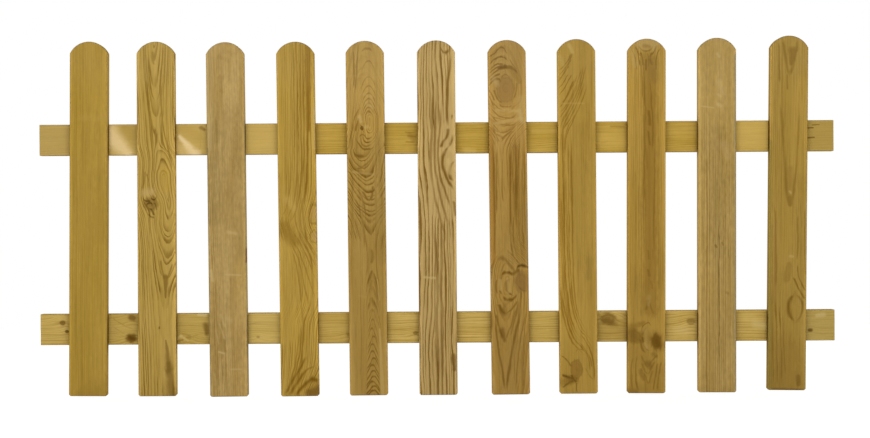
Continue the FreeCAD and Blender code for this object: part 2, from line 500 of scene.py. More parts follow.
def build_timber_finish():
    sockets = dict.fromkeys(FINISH_COLOURS, "colour") | numbers(*FINISH_MASKS, *FINISH_AMOUNTS)
    tree, given, made = new_group("Timber finish", sockets, {"Colour": "colour", "Roughness": "value"})
    fibre = given["Fibre"]
    bark_and_shade = srgb(*BARK_AND_SHADE_COLOUR)
    patch = rise(given["Patch"], *PATCH_FADE) * given["Patchiness"]
    colour = blend_colours(patch, given["Early"], given["Olive"])
    dark_fibre = rise(fibre, *DARK_FIBRE) * DARK_FIBRE_SHARE
    colour = blend_colours(maths("MAXIMUM", given["Latewood"], dark_fibre), colour, given["Late"])
    colour = blend_colours(given["Core"], colour, given["Knot"])
    colour = blend_colours(given["Rim"], colour, bark_and_shade)
    # Painted shade: faces turned away from the front are darkened towards the late wood.
    colour = blend_colours(rise(given["Turned"], *TURNED_SHADE_FADE) * TURNED_SHADE_SHARE, colour, given["Late"])
    # Painted shade: the corner mask lays the dark brown into the colour.
    colour = blend_colours(given["Painted Corner Shade"], colour, bark_and_shade)
    flecked = given["Ragged"] * given["Flecks"] + (fibre * FIBRE_LEVEL + LOWEST_LEVEL)
    shade = {0: colour, "Scale": flecked * given["Level"]}
    feed(made["Colour"], put(tree, "ShaderNodeVectorMath", shade, operation="SCALE")["Vector"])
    feed(made["Roughness"], fibre * FIBRE_ROUGHNESS + LOWEST_ROUGHNESS)
    return tree


TIMBER_FINISH = build_timber_finish()
print("made the group:", TIMBER_FINISH.name)

# %% [markdown]
# Now the groups are strung together. A Float Curve node carries a line through a few points: the heart's
# path along a board, or a stroke across it, which runs up or across, whichever is longer. Knots are
# chained, each adding to the last, and strokes are laid over a ground so that the darker of the two
# shows.

# %% Curves, knots, bands and strokes on a board
MILLIMETRE = 0.001
KNOT_REACH = 1.8


def place_group(group, values):
    tree = next(value.tree for value in values.values() if isinstance(value, Wire))
    return put(tree, "ShaderNodeGroup", values, node_tree=group)


def curve_through(value, rows):
    rows = sorted(rows)
    first, last = rows[0][0], rows[-1][0]
    bottom = min(height for _, height in rows)
    span = max(max(height for _, height in rows) - bottom, MILLIMETRE)
    curve = add_node(value.tree, "ShaderNodeFloatCurve")
    line = curve.mapping.curves[0]
    while len(line.points) < len(rows):
        line.points.new(0.5, 0.5)
    for point, (place, height) in zip(line.points, rows):
        point.location = ((place - first) / (last - first), (height - bottom) / span)
        point.handle_type = "AUTO_CLAMPED"
    curve.mapping.update()
    share = (value - first) / (last - first)
    feed(curve.inputs["Value"], share)
    return Wire(curve.outputs["Value"]) * span + bottom, share


def add_knots(point, ragged, knots):
    chain = dict.fromkeys(CHAIN, 0.0)
    for knot in knots:
        values = {"Point": point, "Ragged": ragged} | chain
        values |= dict(zip(KNOT_PLACE, knot["at"] + knot["size"]))
        values |= {"Reach": knot.get("reach", KNOT_REACH)}
        for socket_name, key in zip(KNOT_FORCE[1:], ("swell", "lift", "core", "rim")):
            values[socket_name] = knot.get(key, 0.0)
        chain = {name: wire for name, wire in place_group(KNOT, values).items() if name in CHAIN}
    return chain


def band_cover(point, ragged, start, end, width, strength, soft):
    values = {"Point": point, "Ragged": ragged}
    values |= dict(zip(BAND_ENDS, start + end))
    values |= dict(zip(BAND_SIZES, (*width, soft, strength)))
    return place_group(BAND, values)["Cover"]


def stroke_cover(places, field, width, strength, path):
    run_across = abs(path[-1][0] - path[0][0])
    run_up = abs(path[-1][1] - path[0][1])
    along = 1 if run_up > run_across else 0
    line, share = curve_through(places[along], [(row[along], row[1 - along]) for row in path])
    values = {name: field[name] for name in ("Tremor", "Ragged", "Vigour")}
    values |= {"Offset": places[1 - along] - line, "Share": share, "Width": width, "Strength": strength}
    return place_group(STROKE, values)["Cover"]


def draw_strokes(ground, places, field, rows):
    for width, strength, *paths in rows:
        for path in paths:
            ground = maths("MAXIMUM", ground, stroke_cover(places, field, width, strength, path))
    return ground


# %% [markdown]
# Two steps of a board's material stand on their own. The rings take the three values of their heart from
# curves along the board. The painted corner shade is found by an Ambient Occlusion node, which tells how
# closed in a point is; the floor closes the feet in too, so the painted shade starts some way above it.

# %% Rings and painted corner shade on a board
NOOK_REACH = 26 * MILLIMETRE
NOOK_SAMPLES = 4
OFF_THE_FLOOR = (20, 60)


def grow_rings(point, height, field, chain, heart, sizes):
    growth = {"Point": point} | sizes
    growth |= {name: field[name] for name in ("Wander", "Tremor", "Vigour")}
    growth |= {name: chain[name] for name in ("Shift", "Push")}
    for column, socket_name in enumerate(HEART, start=1):
        growth[socket_name] = curve_through(height, [(row[0], row[column]) for row in heart])[0]
    return place_group(GROWTH_RINGS, growth)["Latewood"]


# Painted shade: corners between pickets and rails, found by ambient occlusion, are darkened in the colour.
def paint_corner_shade(height, corner_shade):
    reach = {"Distance": NOOK_REACH}
    nook = put(height.tree, "ShaderNodeAmbientOcclusion", reach, samples=NOOK_SAMPLES)["AO"]
    return (1 - nook) * rise(height, *OFF_THE_FLOOR) * corner_shade


# %% [markdown]
# Each board gets a material of its own. A Mapping node turns the object's coordinates into the board's
# own millimetres, measured from its foot and along its lean, so that a knot stays where it is drawn even
# though no two pickets stand quite alike. The long edges of a picket are painted a little paler than its
# face: a painted highlight for the light that the white surroundings spill over the edges. The bump comes
# from the rings and fibres alone. There is no gloss: treated timber is matt, and a sheen at a glancing
# angle would turn its dark sides grey.

# %% A board's own timber
EDGE_ZONE = (32, 43)
FIBRE_BUMP = 0.6
BUMP_STRENGTH = 0.6


def timber(name, foot, turn, length, heart, ring_width, early, late, olive, contrast=0.8, waver=2.0,
           uneven=2.2, seed=0.0, levels=((0, 1.0), (1, 1.0)), corner_shade=3.0, patchiness=0.35, flecks=0.06,
           relief=0.25, knot_colour=(120, 86, 34), painted_edge_glow=0.0, knots=(), quiet=(), glow=(), strokes=(),
           cracks=(), marks=()):
    material, tree = new_material(name)
    place = put(tree, "ShaderNodeTexCoord", {})
    board = {"Vector": place["Object"], "Location": foot, "Rotation": (0, turn, 0)}
    board["Scale"] = [MILLIMETRE] * 3
    point = put(tree, "ShaderNodeMapping", board, vector_type="TEXTURE")["Vector"]
    across, _, height = split_point(point)
    places = (across, height)
    field = place_group(FIBRE_FIELD, {"Point": point, "Seed": seed})
    ragged = field["Ragged"]
    chain = add_knots(point, ragged, knots)

    sizes = {"Ring Width": ring_width, "Waver": waver, "Uneven": uneven, "Seed": seed}
    line = grow_rings(point, height, field, chain, heart, sizes) * contrast
    for band in quiet:
        line = line * (1 - band_cover(point, ragged, *band))
    raised = field["Fibre"] * FIBRE_BUMP + line
    level = curve_through(height / length, levels)[0]
    for band in glow:
        level = level * band_cover(point, ragged, *band) + level
    # Painted highlight: the long edges are made paler, for the light that the white surroundings spill over
    # them.
    if painted_edge_glow:
        level = level * (rise(abs(across), *EDGE_ZONE) * painted_edge_glow) + level

    masks = {name: field[name] for name in ("Fibre", "Patch", "Ragged")}
    masks |= dict(zip(FINISH_COLOURS, (srgb(*tone) for tone in (early, late, knot_colour, olive))))
    masks |= {"Patchiness": patchiness, "Flecks": flecks, "Level": level, "Core": chain["Core"]}
    masks["Latewood"] = draw_strokes(line, places, field, strokes)
    masks["Rim"] = draw_strokes(chain["Rim"], places, field, cracks)
    _, facing, _ = split_point(place["Normal"])
    # How far a face turns away from the front, for the painted shade on the sides and ends.
    masks["Turned"] = 1 - abs(facing)
    # Mask of the painted shade in the corners.
    masks["Painted Corner Shade"] = paint_corner_shade(height, corner_shade)
    surface = place_group(TIMBER_FINISH, masks)
    colour = surface["Colour"]
    for tint, *band in marks:
        colour = blend_colours(band_cover(point, ragged, *band), colour, srgb(*tint))

    shader = tree.nodes["Principled BSDF"]
    shader.inputs["Specular IOR Level"].default_value = 0.0
    bump = {"Strength": BUMP_STRENGTH, "Distance": relief * MILLIMETRE, "Height": raised}
    feed(shader.inputs["Normal"], put(tree, "ShaderNodeBump", bump)["Normal"])
    feed(shader.inputs["Base Color"], colour)
    feed(shader.inputs["Roughness"], surface["Roughness"])
    return material


# %% [markdown]
# A picket is measured before it is dressed: the middles of its foot and its head give its place and its
# lean. In the lists below, a row of strokes or cracks has a width, a strength and the paths drawn with
# that pen. A mark has a tint, and then, as every band, its two ends, the widths there, a strength and a
# softness. Every picket's head gets a faint paler tint towards the top.

# %% Dressing a picket
FOOT_ZONE = 0.012
HEAD_ZONE = 0.030
SEED_STEP = 7.3
# Strength of the painted highlight along every picket's long edges.
PAINTED_EDGE_GLOW = 0.25
# A faint paler tint laid over the top of every picket's head.
PALER_HEAD = ((180, 158, 114), (0, 830), (0, 770), (130, 130), 0.06, 0.6)


def cover_node(node_name, material):
    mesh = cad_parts[node_name].data
    for slot in range(len(mesh.materials)):
        mesh.materials[slot] = material


def middle_of(points):
    low = Vector(map(min, *points))
    high = Vector(map(max, *points))
    return (low + high) / 2


def dress_picket(number, marks=(), **grain):
    node_name = f"picket_{number:02d}"
    low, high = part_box(node_name)
    places = [vertex.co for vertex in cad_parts[node_name].data.vertices]
    foot = middle_of([p for p in places if p.z < low.z + FOOT_ZONE])
    head = middle_of([p for p in places if p.z > high.z - HEAD_ZONE])
    lean = math.atan2(head.x - foot.x, head.z - foot.z)
    length = (high.z - low.z) / MILLIMETRE
    grain |= {"seed": number * SEED_STEP, "painted_edge_glow": PAINTED_EDGE_GLOW, "marks": [*marks, PALER_HEAD]}
    cover_node(node_name, timber(f"{node_name}_timber", (foot.x, low.y, low.z), lean, length, **grain))
    print(node_name, "leans", round(math.degrees(lean), 2), "degrees")


# %% [markdown]
# The first picket is almost plain: a quiet gold board, sawn far from the heart, with a few straight lines
# along its left edge. Its heart therefore lies well off to the left, and the right half is hushed by a
# band.

# %% First picket
STRAIGHT = [(0, -150, 30, 1), (800, -150, 30, 1)]

dress_picket(
    1, heart=STRAIGHT, ring_width=4.6, contrast=0.5, waver=1.5, patchiness=0.5, flecks=0.1,
    early=(173, 141, 62), late=(134, 102, 30), olive=(162, 131, 50),
    levels=((0, 0.98), (0.6, 0.98), (0.8, 1.03), (1, 1.05)),
    quiet=[((24, 0), (24, 800), (60, 60), 0.75, 0.6)],
    marks=[
        ((182, 152, 74), (-15, 628), (34, 628), (12, 12), 0.3, 0.9),
        ((140, 114, 58), (43, 0), (43, 800), (7, 7), 0.5, 0.7),
        ((146, 114, 46), (0, 0), (40, 10), (40, 60), 0.35, 0.8),
        ((150, 120, 48), (28, 500), (26, 360), (26, 26), 0.3, 0.9),
    ],
)

# %% [markdown]
# The second picket is cut close to the heart, so its rings open into nested arrowheads, which point down
# in the upper half, turn round at a saddle, close into loops beside a knot and point down again below it.
# The heart rises to the face at the loops and sinks at the saddle. The knot has split into a star.

# %% Second picket
dress_picket(
    2, ring_width=5.2, contrast=0.9, waver=1.8,
    heart=[(0, 25, 58, 1.3), (120, 22, 58, 1.3), (220, 19, 55, 1.3), (290, 22, 46, 1.3), (345, 26, 34, 1.3),
           (400, 25, 20, 1.3), (475, 18, 4, 1.2), (515, 17, 15, 1.2), (545, 12, 23, 1.2), (580, 2, 30, 1.2),
           (665, -1, 24, 1.3), (745, -3, 14, 1.3), (800, -2, 6, 1.3)],
    early=(185, 154, 80), late=(114, 82, 18), olive=(168, 138, 56),
    levels=((0, 0.96), (0.5, 0.98), (1, 1.02)),
    quiet=[((20, 205), (22, 60), (56, 56), 0.7, 0.5)],
    glow=[((30, 590), (30, 510), (30, 30), 0.09, 0.9)],
    knot_colour=(118, 88, 32),
    knots=[dict(at=(-12, 434), size=(17, 16), reach=1.9, swell=0.7, lift=7, core=0.65, rim=0.1)],
    strokes=[
        (3, 0.6, [(-24, 510), (-26, 490), (-31, 465)], [(-22, 505), (-16, 480), (-13, 460)],
         [(36, 300), (29, 280), (22, 262)]),
        (3, 0.7, [(-17, 770), (-12, 700), (-5, 672), (-1, 662)],
         [(17, 795), (14, 740), (9, 690), (1, 662)],
         [(15, 715), (12, 660), (15, 620), (25, 570), (38, 512)]),
        (4, 0.7, [(8, 310), (12, 285), (18, 262)]),
        (4, 0.8, [(-20, 720), (-15, 650), (-9, 590), (-5, 555)]),
        (5, 0.7, [(-8, 780), (-7, 760), (-2, 746)]),
    ],
    cracks=[
        (3, 0.7, [(-5, 438), (-1, 429), (2, 419)]),
        (3, 0.8, [(-30, 446), (-21, 440), (-12, 441)], [(-13, 450), (-7, 443), (2, 451)]),
        (4, 0.6, [(-20, 412), (-12, 405), (-3, 402)]),
        (4, 0.8, [(-23, 431), (-15, 436), (-7, 431)], [(-14, 425), (-9, 418), (-5, 407)]),
    ],
    marks=[
        ((190, 161, 100), (-28, 458), (-10, 462), (16, 14), 0.6, 0.8),
        ((186, 152, 62), (20, 505), (24, 470), (24, 20), 0.4, 0.9),
        ((122, 92, 34), (20, 268), (20, 222), (12, 3), 0.75, 0.5),
        ((120, 92, 36), (20, 126), (27, 60), (3, 15), 0.7, 0.8),
        ((118, 90, 36), (26, 72), (33, -6), (13, 22), 0.65, 0.8),
        ((96, 70, 20), (5, 156), (5, 153), (3, 3), 0.7, 0.6),
    ],
)

# %% [markdown]
# The third picket is a pale, beige board that took up less of the treatment. It has hardly any figure,
# but handling has left faint scratches across it and a nick in its right edge, so it is mostly a matter
# of marks.

# %% Third picket
dress_picket(
    3, heart=[(0, -120, 20, 1), (800, -140, 20, 1)], ring_width=4.2, contrast=0.6, waver=2.5,
    early=(178, 150, 93), late=(130, 100, 44), olive=(158, 129, 70), relief=0.35, flecks=0.3,
    patchiness=0.7, quiet=[((22, 200), (22, 800), (70, 70), 0.7, 0.5)],
    glow=[((-30, 600), (-30, 400), (32, 32), -0.12, 0.9), ((28, 290), (28, 0), (32, 32), 0.12, 0.9),
          ((0, 800), (0, 710), (90, 90), 0.1, 0.7)],
    strokes=[
        (2, 0.5, [(-24, 180), (-26, 100), (-23, 10)]),
        (2, 0.6, [(-14, 200), (-16, 120), (-13, 20)]),
        (2, 0.7, [(-31, 790), (-32, 700), (-31, 640)]),
        (2, 0.9, [(-36, 800), (-36, 700), (-35, 610)]),
    ],
    marks=[
        ((146, 116, 60), (-12, 766), (-8, 764), (9, 9), 0.4, 0.8),
        ((146, 116, 60), (-12, 722), (-8, 720), (9, 9), 0.4, 0.8),
        ((146, 116, 60), (-11, 690), (-8, 688), (7, 7), 0.45, 0.8),
        ((188, 162, 108), (-36, 800), (-36, 560), (16, 10), 0.4, 0.8),
        ((194, 168, 112), (2, 372), (20, 368), (7, 7), 0.45, 0.9),
        ((194, 168, 112), (-4, 276), (30, 274), (4, 4), 0.45, 0.8),
        ((198, 172, 116), (-37, 285), (-34, 262), (7, 5), 0.6, 0.8),
        ((190, 164, 108), (-16, 185), (-8, 160), (6, 5), 0.5, 0.8),
        ((190, 164, 108), (-20, 165), (-8, 130), (3, 3), 0.45, 0.8),
        ((196, 170, 114), (-22, 102), (-10, 98), (4, 4), 0.6, 0.8),
        ((190, 164, 108), (5, 62), (28, 62), (4, 4), 0.5, 0.8),
        ((186, 160, 106), (-4, 178), (6, 172), (9, 9), 0.4, 0.9),
        ((186, 160, 106), (-28, 150), (-22, 120), (4, 3), 0.4, 0.9),
        ((134, 104, 46), (-10, 128), (-8, 104), (6, 6), 0.4, 0.8),
        ((134, 104, 48), (8, 640), (12, 460), (26, 34), 0.15, 0.9),
        ((132, 122, 84), (-43, 0), (-43, 560), (6, 6), 0.5, 0.6),
        ((132, 122, 84), (43, 0), (43, 620), (5, 5), 0.5, 0.6),
        ((112, 60, 26), (43, 334), (43, 304), (3, 4), 0.8, 0.5),
    ],
)

# %% [markdown]
# The fourth picket shows straight lines that sway round branches hidden just beyond its right edge, one
# at half height and one at the foot. Two pushes without a core bend the rings, and two small knots with
# only a rim make the pale loops on the edge itself. Strokes draw the lines that bend round them and the
# fan at the foot, and a mark gives the broad brown streak that runs down from the head.

# %% Fourth picket
dress_picket(
    4, ring_width=5.0, contrast=0.85, waver=2.5,
    heart=[(0, -120, 20, 1), (160, -112, 20, 1), (260, -90, 20, 1), (360, -100, 20, 1), (480, -120, 20, 1),
           (800, -120, 20, 1)],
    early=(178, 146, 68), late=(116, 82, 16), olive=(165, 132, 52),
    knots=[
        dict(at=(45, 385), size=(40, 32), reach=1.5, lift=34),
        dict(at=(37, 411), size=(11, 23), rim=0.3),
        dict(at=(37, 360), size=(9, 14), rim=0.3),
        dict(at=(40, 0), size=(36, 30), reach=1.5, lift=34),
    ],
    quiet=[((-32, 330), (-32, 140), (50, 50), 0.8, 0.5), ((-34, 800), (-34, 520), (34, 34), 0.6, 0.6)],
    glow=[((32, 800), (32, 120), (30, 30), 0.07, 0.9), ((2, 200), (-2, 20), (36, 36), 0.07, 0.9)],
    strokes=[
        (2, 0.6, [(-3, 800), (-3, 700), (-4, 600), (-6, 520)]),
        (2, 0.7, [(11, 790), (10, 650), (11, 540), (6, 470), (-8, 410)]),
        (2, 0.8, [(4, 800), (4, 700), (4, 600), (3, 520), (-6, 440)]),
        (3, 0.6, [(-12, 560), (-14, 500), (-20, 446), (-36, 400)],
         [(3, 580), (0, 500), (-9, 436), (-28, 394)], [(-16, 378), (2, 352), (20, 316), (40, 258)],
         [(-4, 384), (12, 354), (26, 322), (42, 288)],
         [(-18, 342), (-8, 312), (0, 270), (5, 220), (8, 150)],
         [(0, 150), (-5, 100), (-16, 50), (-33, 6)]),
        (3, 0.7, [(20, 790), (19, 700), (18, 600), (15, 520), (10, 470)],
         [(12, 550), (10, 490), (-1, 426), (-19, 388)],
         [(-22, 366), (-4, 340), (13, 300), (24, 262), (40, 215)],
         [(6, 380), (20, 352), (32, 328), (42, 312)],
         [(-22, 354), (-6, 326), (6, 288), (14, 250), (24, 200)],
         [(12, 180), (8, 120), (0, 70), (-16, 6)]),
        (3, 0.8, [(6, 170), (2, 112), (-8, 60), (-25, 6)]),
        (4, 0.7, [(16, 460), (11, 430), (13, 397), (16, 372), (23, 346), (41, 328)]),
        (5, 0.9, [(27, 720), (28, 650), (26, 590), (24, 520), (18, 460), (4, 410)]),
        (8, 0.9, [(-36, 0), (-16, 36), (1, 64), (17, 94)]),
        (9, 0.9, [(-26, 0), (-2, 37), (18, 61), (44, 72)]),
        (11, 1.0, [(-13, 0), (4, 20), (18, 32), (29, 38), (46, 33)]),
    ],
    marks=[
        ((136, 103, 34), (-34, 382), (-8, 350), (34, 24), 0.6, 0.8),
        ((138, 102, 34), (29, 800), (28, 600), (14, 7), 0.75, 0.7),
        ((198, 168, 102), (41, 650), (41, 560), (6, 8), 0.5, 0.9),
        ((192, 160, 84), (-22, 445), (-8, 425), (16, 14), 0.4, 0.9),
        ((116, 84, 30), (24, 8), (40, 12), (20, 28), 0.8, 0.6),
        ((176, 142, 84), (37, 420), (37, 402), (11, 11), 0.45, 0.7),
        ((178, 144, 88), (37, 365), (37, 355), (9, 9), 0.5, 0.7),
    ],
)

# %% [markdown]
# The fifth picket is a slice through a crooked stretch of the tree: arches above, loops round a pin knot,
# deep cups below it, and a long ladder of small arches towards the foot. A winding heart gives the loops
# and the cups. The arches are too regular for it, so two functions draw them as strokes: a ladder whose
# steps widen as it climbs, and nested arches that crowd together towards the loops. Bands quiet the rings
# there.

# %% Fifth picket
LADDER_FOOT = 12
LADDER_STEP = 9
STEP_GROWTH = 0.5
STEP_NARROWING = 0.8
PEAK_SWAY = 2
SWAY_PACE = 2.3
LEFT_DROPS = (20, 8)
RIGHT_DROPS = (22, 7)
ARCH_PEN = 4
ARCH_STRENGTH = 0.9
STRENGTH_LOSS = 0.03
SHOULDER_SHARE = 0.6
SPRING_SHARE = 2
HEAD_ARCHES = [(754, 17), (718, 19), (698, 18), (682, 17), (670, 16), (660, 14), (651, 12), (642, 10)]


def ladder(steps, centre, half):
    arches = []
    for step in range(steps):
        top = LADDER_FOOT + LADDER_STEP * step + STEP_GROWTH * step ** 2
        reach = half - STEP_NARROWING * step
        peak = centre + PEAK_SWAY * math.sin(SWAY_PACE * step)
        foot = top - step
        shoulder = top - step / 2
        left = [(centre - reach, foot - LEFT_DROPS[0]), (peak - reach / 2, shoulder - LEFT_DROPS[1])]
        right = [(peak + reach / 2, shoulder - RIGHT_DROPS[1]), (centre + reach, foot - RIGHT_DROPS[0])]
        arches.append((ARCH_PEN, ARCH_STRENGTH - STRENGTH_LOSS * step, [*left, (peak, top), *right]))
    return arches


def arch(centre, top, reach):
    shoulder = top - SHOULDER_SHARE * reach
    spring = top - SPRING_SHARE * reach
    left = [(centre - reach, spring), (centre - SHOULDER_SHARE * reach, shoulder)]
    right = [(centre + SHOULDER_SHARE * reach, shoulder), (centre + reach, spring)]
    return (ARCH_PEN, ARCH_STRENGTH, [*left, (centre, top), *right])


dress_picket(
    5, ring_width=4.6, contrast=0.85, waver=1.4,
    heart=[(0, 9, 4, 2.5), (95, 10, 52, 2.5), (150, 10, 68, 2.4), (220, 10, 82, 2.2), (325, 10, 92, 1.9),
           (370, 9, 90, 1.6), (440, 7, 66, 1.3), (500, 0, 44, 1.1), (540, -8, 31, 1.0), (560, 0, 24, 1.0),
           (590, 7, 11, 1.1), (615, 9, 2, 1.2), (640, 9, 12, 1.2), (680, 5, 32, 1.1), (720, 0, 45, 1.0),
           (755, -3, 52, 1.0), (800, -3, 57, 1.0)],
    early=(170, 138, 72), late=(108, 76, 18), olive=(152, 119, 50),
    levels=((0, 0.95), (0.4, 0.92), (0.65, 0.95), (0.78, 1.08), (1, 1.1)),
    knot_colour=(92, 64, 18),
    quiet=[((-30, -10), (-28, 330), (62, 56), 0.9, 0.3), ((42, -10), (42, 320), (38, 30), 0.8, 0.4),
           ((30, 440), (36, 380), (20, 30), 0.6, 0.6), ((10, -10), (10, 180), (44, 30), 0.85, 0.4),
           ((0, 800), (2, 690), (110, 90), 0.6, 0.4)],
    glow=[((4, 700), (4, 600), (60, 50), 0.12, 0.8), ((-4, 520), (0, 470), (50, 60), 0.08, 0.9),
          ((37, 590), (38, 310), (22, 26), -0.12, 0.9)],
    knots=[dict(at=(-8, 603), size=(4, 5), reach=4.0, lift=4, core=0.9)],
    strokes=[
        (2, 0.8, [(-13, 612), (-8, 603), (-4, 592)]),
        (3, 0.5, [(12, 262), (20, 238), (24, 210)]),
        (3, 0.6, [(-22, 470), (-8, 440), (0, 400)], [(-34, 455), (-18, 425), (-8, 380), (-6, 330)]),
        (3, 0.7, [(-30, 596), (-27, 618), (-18, 640), (-8, 652)], [(-23, 594), (-20, 612), (-13, 628)]),
        (3, 0.8, [(-16, 582), (-6, 588), (4, 580), (16, 586)], [(-26, 786), (-24, 740), (-26, 690)],
         [(-12, 800), (-17, 750), (-22, 680)]),
        (4, 0.5, [(10, 262), (6, 244)]),
        (4, 0.6, [(-34, 520), (-20, 512), (-2, 520), (16, 540), (28, 560)]),
        (4, 0.7, [(6, 438), (12, 450), (16, 475)]),
        (4, 0.8, [(-26, 592), (-16, 568), (-2, 556), (10, 556), (22, 570)]),
        (5, 0.6, [(9, 332), (11, 315), (10, 296)]),
        (5, 0.8, [(-10, 462), (0, 446), (6, 438)], [(-8, 776), (6, 782), (18, 775)]),
        (7, 0.8, [(-30, 556), (-24, 544), (-14, 539), (-2, 541)]),
        *ladder(steps=13, centre=10, half=20),
        *[arch(centre=8, top=top, reach=reach) for top, reach in HEAD_ARCHES],
    ],
    marks=[
        ((182, 154, 98), (0, 810), (0, 680), (110, 100), 0.2, 0.5),
        ((192, 161, 96), (-14, 630), (-10, 618), (7, 6), 0.7, 0.8),
        ((188, 158, 94), (2, 660), (18, 648), (7, 7), 0.45, 0.9),
        ((188, 158, 94), (-6, 680), (14, 674), (5, 5), 0.4, 0.9),
        ((186, 156, 92), (-30, 505), (18, 498), (5, 5), 0.35, 0.9),
        ((186, 157, 94), (26, 150), (31, 0), (3, 9), 0.6, 0.6),
        ((186, 157, 94), (22, 262), (26, 215), (2, 2), 0.5, 0.6),
        ((184, 153, 88), (-36, 722), (34, 716), (5, 5), 0.25, 0.9),
        ((192, 164, 98), (0, 606), (4, 606), (8, 7), 0.5, 0.9),
        ((172, 140, 76), (-20, 226), (-4, 222), (4, 4), 0.4, 0.8),
    ],
)

# %% [markdown]
# The sixth picket has been brushed by the weather or a planer: eight or ten bold, wavy lines stand out
# from a pale ground. The rings are wide and wander freely, the bump is deeper, and a branch outside the
# right edge pulls the lines into a bow at two thirds of the height.

# %% Sixth picket
dress_picket(
    6, heart=[(0, -150, 20, 1), (800, -150, 20, 1)], ring_width=7.8, contrast=1.25, waver=17.0,
    uneven=1.1, relief=0.5, early=(187, 158, 100), late=(117, 86, 32), olive=(172, 143, 82),
    levels=((0, 0.94), (0.5, 0.99), (1, 1.02)),
    knots=[dict(at=(52, 540), size=(22, 40), reach=1.5, lift=26)],
    quiet=[((40, 770), (38, 640), (16, 18), 0.9, 0.4), ((36, 610), (36, 480), (30, 26), 0.9, 0.4),
           ((10, 590), (18, 420), (44, 60), 0.75, 0.5)],
    glow=[((32, 790), (32, 700), (24, 24), 0.11, 0.9), ((-14, 580), (0, 510), (60, 50), 0.08, 0.9)],
    strokes=[
        (5, 0.7, [(-8, 700), (-11, 600), (-14, 530), (-9, 470), (3, 415), (24, 330)]),
        (5, 0.8, [(1, 690), (-3, 600), (-5, 540), (1, 480), (14, 425), (30, 365)],
         [(38, 440), (40, 420), (42, 400)], [(6, 390), (10, 320), (7, 250), (11, 170), (9, 80), (11, 4)]),
        (5, 0.9, [(11, 660), (7, 600), (3, 540), (6, 500), (18, 460), (34, 412)]),
        (6, 0.9, [(42, 530), (31, 514), (29, 498), (36, 480)],
         [(-8, 392), (-3, 320), (0, 250), (-3, 170), (0, 80), (-2, 4)]),
        (6, 1.0, [(33, 780), (31, 740), (26, 700), (24, 640), (27, 600)],
         [(38, 592), (32, 568), (18, 548), (13, 524), (18, 500), (28, 478), (42, 458)]),
        (7, 1.0, [(5, 800), (11, 782), (21, 772), (31, 778)], [(27, 604), (24, 586), (14, 570), (8, 555)]),
    ],
    marks=[
        ((204, 178, 120), (-30, 266), (-6, 264), (5, 5), 0.45, 0.8),
        ((116, 86, 36), (34, 88), (36, 58), (12, 8), 0.8, 0.6),
        ((202, 174, 112), (38, 770), (39, 650), (10, 8), 0.4, 0.7),
        ((200, 172, 110), (26, 560), (38, 548), (9, 9), 0.5, 0.8),
        ((200, 172, 110), (26, 530), (30, 500), (9, 9), 0.5, 0.8),
    ],
)

# %% [markdown]
# The seventh picket is the liveliest: a large knot under a dark eyebrow near the head, a ladder of cups
# below it, and a second knot on the right edge with the grain curling round it and running down to a long
# point. The heart comes up to the face at both knots; strokes add the swirls that no simple heart would
# give.

